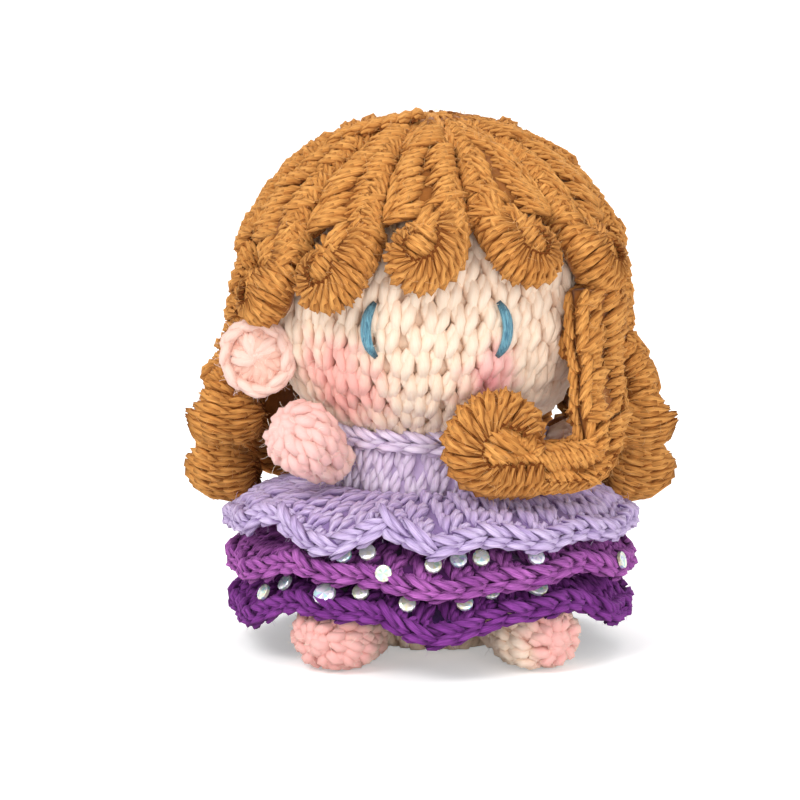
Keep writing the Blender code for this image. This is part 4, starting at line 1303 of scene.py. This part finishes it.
hook = lock_piece("hook_lock_crochet", ((even_lock(stations), fan_from, 1, True),), hook_heart)
hinge = around(strip_radius, top_azimuth, hook_hinge_z)
reach = up(hinge_blend)
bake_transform(hook)
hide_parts("hook_lock_root", "hook_lock_ringlet")

# Dress: a snug lilac bodice, a dark lining tube under it, and three ruffles worked in rounds
# onto the tube. Every round has more stitches than the last, so the ruffles flare and fold, and
# each hem ends in a chain.
bodice_top = 0.0322 + 0.0016
bodice_bottom = tier_top_z - tier_spacing / 2
bodice_inner = body_radius + fit_gap


def wall_place(radius, top, bottom, tilt):
    """Place(angle, share) on an upright wall whose top edge is tilted."""
    def place(angle, share):
        height = top + (bottom - top) * share
        height += tilt * cos(angle + radians(40.0)) * (1 - share)
        return around(radius, angle, height)
    return place


def dress_piece(name, node_name, place, materials, length, row, stitch, heart, lifts,
                raised=0.0, density=1.0e5, rims=()):
    """Piece of the dress: rows of stitches over a closed wall, with a rim of chain if wanted."""
    surface = surfaced(place, heart)
    stitches = []
    rows_of_v(stitches, surface, length, row, stitch, end=0.97, plump=0.60, raised=raised)
    for rim in rims:
        hem_chain(stitches, surface, *rim)
    backing = shell(name + "_backing", turned(surface, lifts, 96, 10), ends=False)
    piece = crochet(name, backing, stitches, materials, density)
    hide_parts(node_name)
    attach(piece, "body")
    return surface


def hem_chain(stitches, surface, count, share, height, bulge):
    """Chain along an edge: stitch after stitch, a V lying on its side over the edge."""
    for stitch in range(count):
        step = 2 * pi / count
        angle = step * (stitch + shake(0.07))
        for spread in (0.0014, -0.0014):
            start, normal = surface(angle, share, 0.0004)
            end, _ = surface(angle + step * 1.12, share, 0.0006)
            start = start + up(height + spread)
            end = end + up(height + spread * 0.25)
            crest = (start + end) / 2 + normal * (bulge + shake(0.0002))
            strand(stitches, start, end, normal, 0.0022, 0.0022, crest, 1)


# In each yarn the third tone is painted shade between plies and under strands; each backing is inner
# yarn darkened as painted shade in the gaps.
lilac_yarn = (yarn("lilac_yarn", "#ecdafa", "#c6adde", "#664783", groove_shade_share=0.7, fibre_shade_share=0.24,
                   glow=0.2),
              nap("lilac_nap", "#9c80b8"), nap("lilac_fluff", "#e0d0ee", 0.9))
magenta_yarn = (yarn("magenta_yarn", "#d87fd6", "#94419b", "#310e37"),
                nap("magenta_nap", "#5d2068", 0.4), nap("magenta_fluff", "#b866bf", 0.9))
purple_yarn = (yarn("purple_yarn", "#a04eae", "#782d86", "#36113f"),
               nap("purple_nap", "#38114c", 0.35), nap("purple_fluff", "#7f459a", 0.9))
# The bodice is worked in the ruffles' lilac yarn: this paler copy and its paler backing are painted
# light that offsets the shade under the head; the backing is still darker than the yarn, as painted
# shade in the gaps.
brushed_lilac = (yarn("brushed_lilac", "#fbedfd", "#ead4f0", "#a586b2", groove_shade_share=0.6,
                      fibre_shade_share=0.2, glow=0.3, sheen=0.5),
                 nap("bodice_nap", "#cdb6da", 0.8), lilac_yarn[2])
upright_heart = axis + up(0.02)
dress_piece("bodice_crochet", "bodice",
            wall_place(bodice_inner + bodice_wall * 0.55, bodice_top, bodice_bottom, 0.0014),
            brushed_lilac, bodice_top - bodice_bottom, 0.0036, 0.0040, upright_heart,
            (0.0, -0.0012), 0.0008, rims=((26, 0.0, 0.0010, 0.0012),))
lining_top = bodice_bottom - 0.0014 - fit_gap
lining_bottom = tier_top_z - 2 * tier_spacing - tier_thickness
dress_piece("lining_crochet", "skirt_lining",
            wall_place(bodice_inner + 0.0014, lining_top, lining_bottom, 0.0),
            purple_yarn, lining_top - lining_bottom, 0.0040, 0.0044, upright_heart,
            (-0.0003, -0.0012))

# Waves that the photo shows in each hem: azimuth and width in degrees, height in metres
hem_waves = (((-51.0, 9.0, 0.0026), (-28.0, 9.0, -0.0010), (-12.0, 6.5, 0.0030),
              (0.0, 6.0, -0.0006)),
             ((-40.0, 8.0, 0.0008), (14.0, 10.0, -0.0006), (52.0, 9.0, 0.0008)),
             ((-14.0, 6.0, 0.0008), (24.0, 8.0, 0.0007)))


def tier_place(tier_index):
    """Place(angle, share) on a ruffle from the waist to its hem."""
    def place(azimuth, share):
        fold = cos(fold_count * azimuth)
        reach = tier_hem_radius_at(azimuth, tier_index) + fold_depth * fold * share - dress_radius
        radius = dress_radius + reach * sin(share * pi / 2)
        height = tier_profile_z(tier_index, azimuth, share) - fold_height * fold * share
        degrees = (math.degrees(azimuth) + 180.0) % 360.0 - 180.0
        for centre, width, rise in hem_waves[tier_index]:
            height += rise * share ** 2 * math.exp(-((degrees - centre) / width) ** 2)
        return around(radius, azimuth, height)
    return place


tier_heart_drop = 0.03
tier_length = 0.0170
tier_row = 0.0042
hem_rim = (54, 0.985, 0.0, 0.0008)
tier_surfaces = []
for tier_index, (name, tier_yarn) in enumerate((
        ("lilac", lilac_yarn), ("magenta", magenta_yarn), ("purple", purple_yarn))):
    low_heart = axis + up(tier_top_z - tier_index * tier_spacing - tier_heart_drop)
    tier_surfaces.append(dress_piece(
        name + "_ruffle_crochet", name + "_tier", tier_place(tier_index),
        tier_yarn, tier_length, tier_row, tier_row, low_heart, (0.0, -0.0010), 0.0011,
        rims=(hem_rim,)))

# Rhinestones: flat-backed foiled glass, glued to the two lower ruffles. Each is a crown of
# facets round a flat table and throws back white and a little colour: besides the shader's own
# metal and coat reflections, the colour is a painted reflection tint per stone and the white is
# a painted glint on random facets.
crystal, tree, shader = look("foiled_crystal")
# Painted reflection: a pastel tint for each stone, spread a little between its facets.
rainbow = node(tree, "ShaderNodeValToRGB", {"Fac": attribute(tree, "tint")})
ramp = rainbow.color_ramp
for position, code in ((0.0, "#dfe3ea"), (0.35, "#b4bccb"), (0.6, "#7fd4d0"), (0.8, "#b79be0"),
                       (1.0, "#e6dc9c")):
    if position in (0.0, 1.0):
        ramp.elements[int(position)].color = (*tone(code), 1.0)
    else:
        ramp.elements.new(position).color = (*tone(code), 1.0)
# Painted glint: random facets are mixed towards white.
facet_glint_colour = mix(tree, attribute(tree, "facet"), rainbow.outputs[0], tone("#ffffff"))
feed(tree, shader, {"Base Color": facet_glint_colour, "Metallic": 0.5, "Roughness": 0.25,
                    "Coat Weight": 1.0, "Coat Roughness": 0.03})

large_girdle = 0.0019
small_girdle = 0.0014
stone_shape = bmesh.new()
reflection_tint_layer = stone_shape.faces.layers.float.new("tint")
facet_glint_layer = stone_shape.faces.layers.float.new("facet")
stone_nodes = sorted(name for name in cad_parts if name.startswith("rhinestone"))
for stone_name in stone_nodes:
    points = [vertex.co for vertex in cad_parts[stone_name].data.vertices]
    middle = sum(points, Vector()) / len(points)
    away = Vector((middle.x - axis.x, middle.y - axis.y, 0.0)).normalized()
    tier_index = 1 if stone_name in stone_nodes[:9] else 2
    azimuth = math.atan2(middle.x - axis.x, -(middle.y - axis.y))
    share = min(range(101), key=lambda step: (tier_surfaces[tier_index](
        azimuth, step / 100, 0.0)[0] - middle).length) / 100
    _, normal = tier_surfaces[tier_index](azimuth, share, 0.0013)
    normal = (normal + away * 0.6).normalized()
    level = normal.cross(up(1.0)).normalized()
    rise = level.cross(normal)
    farthest = max((point - middle).length for point in points)
    girdle = large_girdle if farthest > large_girdle else small_girdle
    seat = middle + normal * 0.0002
    rows = []
    for reach, height, turn_share in ((1.0, -0.0005, 0.0), (1.0, 0.0, 0.0),
                                      (0.92, 0.00012, 0.5), (0.66, 0.00022, 0.0)):
        rows.append([stone_shape.verts.new(
            seat + level * girdle * reach * cos(pi * (side + turn_share) / 6)
            + rise * girdle * reach * sin(pi * (side + turn_share) / 6)
            + normal * height) for side in range(12)])
    tip = stone_shape.verts.new(seat + normal * 0.00026)
    corners = [tuple(reversed(rows[0]))]
    corners += [(rows[3][side], rows[3][(side + 1) % 12], tip) for side in range(12)]
    corners += [(rows[0][side], rows[0][(side + 1) % 12], rows[1][(side + 1) % 12], rows[1][side])
                for side in range(12)]
    for lower, upper, shift in ((rows[1], rows[2], 0), (rows[2], rows[3], 1)):
        for side in range(12):
            following = (side + 1) % 12
            near, last = upper[(side + shift) % 12], upper[side - 1 + shift]
            corners += [(lower[side], lower[following], near), (lower[side], near, last)]
    faces = [stone_shape.faces.new(corner) for corner in corners]
    # Each stone's painted reflection tint, and a painted glint on each facet.
    stone_reflection_tint = draws.random()
    for face in faces:
        face[reflection_tint_layer] = min(1.0, max(0.0, stone_reflection_tint + shake(0.3)))
        face[facet_glint_layer] = draws.random() * 0.7
bmesh.ops.recalc_face_normals(stone_shape, faces=stone_shape.faces)
stones = added("rhinestones", meshed(stone_shape, "rhinestones", smooth=False))
stones.data.materials.append(crystal)
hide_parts(*stone_nodes)
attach(stones, "body")

# Studio: a plain pale floor under a white sky, with a large soft key on the left and a softer
# fill on the right, and the camera where the photo's was.
floor_half = 3.0
floor_grey = 0.92
floor_glow = 0.34
floor_shape = bmesh.new()
bmesh.ops.create_grid(floor_shape, x_segments=1, y_segments=1, size=floor_half)
floor_piece = added("floor", meshed(floor_shape, "floor", smooth=False))
floor_look, tree, shader = look("floor")
seen = node(tree, "ShaderNodeLightPath").outputs
feed(tree, shader, {"Base Color": (floor_grey, floor_grey, floor_grey, 1.0), "Roughness": 0.9,
                    "Specular IOR Level": 0.0, "Emission Color": (1.0, 1.0, 1.0, 1.0),
                    "Emission Strength": calc(tree, "MULTIPLY", seen["Is Camera Ray"], floor_glow)})
floor_piece.data.materials.append(floor_look)

sky_strength = 0.80
sky_seen_more = 0.20
world = bpy.data.worlds.new("studio")
world.use_nodes = True
tree = world.node_tree
seen = node(tree, "ShaderNodeLightPath").outputs
reflected = calc(tree, "MAXIMUM", seen["Is Glossy Ray"], seen["Is Transmission Ray"])
direct = calc(tree, "MAXIMUM", seen["Is Camera Ray"], reflected)
feed(tree, tree.nodes["Background"], {
    "Strength": calc(tree, "MULTIPLY_ADD", direct, sky_seen_more, sky_strength),
    "Color": (1.0, 1.0, 1.0, 1.0)})
bpy.context.scene.world = world


def lamp(name, place, target, size, watts):
    """Large soft lamp that faces a point."""
    light = bpy.data.lights.new(name, "AREA")
    light.shape = "DISK"
    light.size = size
    light.energy = watts
    holder = added(name, light)
    holder.location = place
    holder.rotation_euler = (target - Vector(place)).to_track_quat("-Z", "Y").to_euler()


for name, place, size, watts in (("key", (-0.35, -0.45, 0.55), 0.35, 2.5),
                                 ("fill", (0.22, -0.60, 0.09), 0.5, 1.9),
                                 ("back", (0.1, 0.5, 0.5), 0.4, 1.6)):
    lamp(name, place, up(0.04), size, watts)

camera_target = Vector((-0.0051, 0.0, 0.0398))
camera_distance = 0.912
camera_rise = radians(10.0)
camera_data = bpy.data.cameras.new("camera")
camera_data.lens = 250.0
camera_data.sensor_width = 36.0
camera = added("camera", camera_data)
camera.location = camera_target + camera_distance * Vector((0.0, -cos(camera_rise), sin(camera_rise)))
aim = (camera_target - camera.location).to_track_quat("-Z", "Y")
camera.rotation_euler = aim.to_euler()
bpy.context.scene.camera = camera
bpy.context.scene.view_settings.view_transform = "Standard"
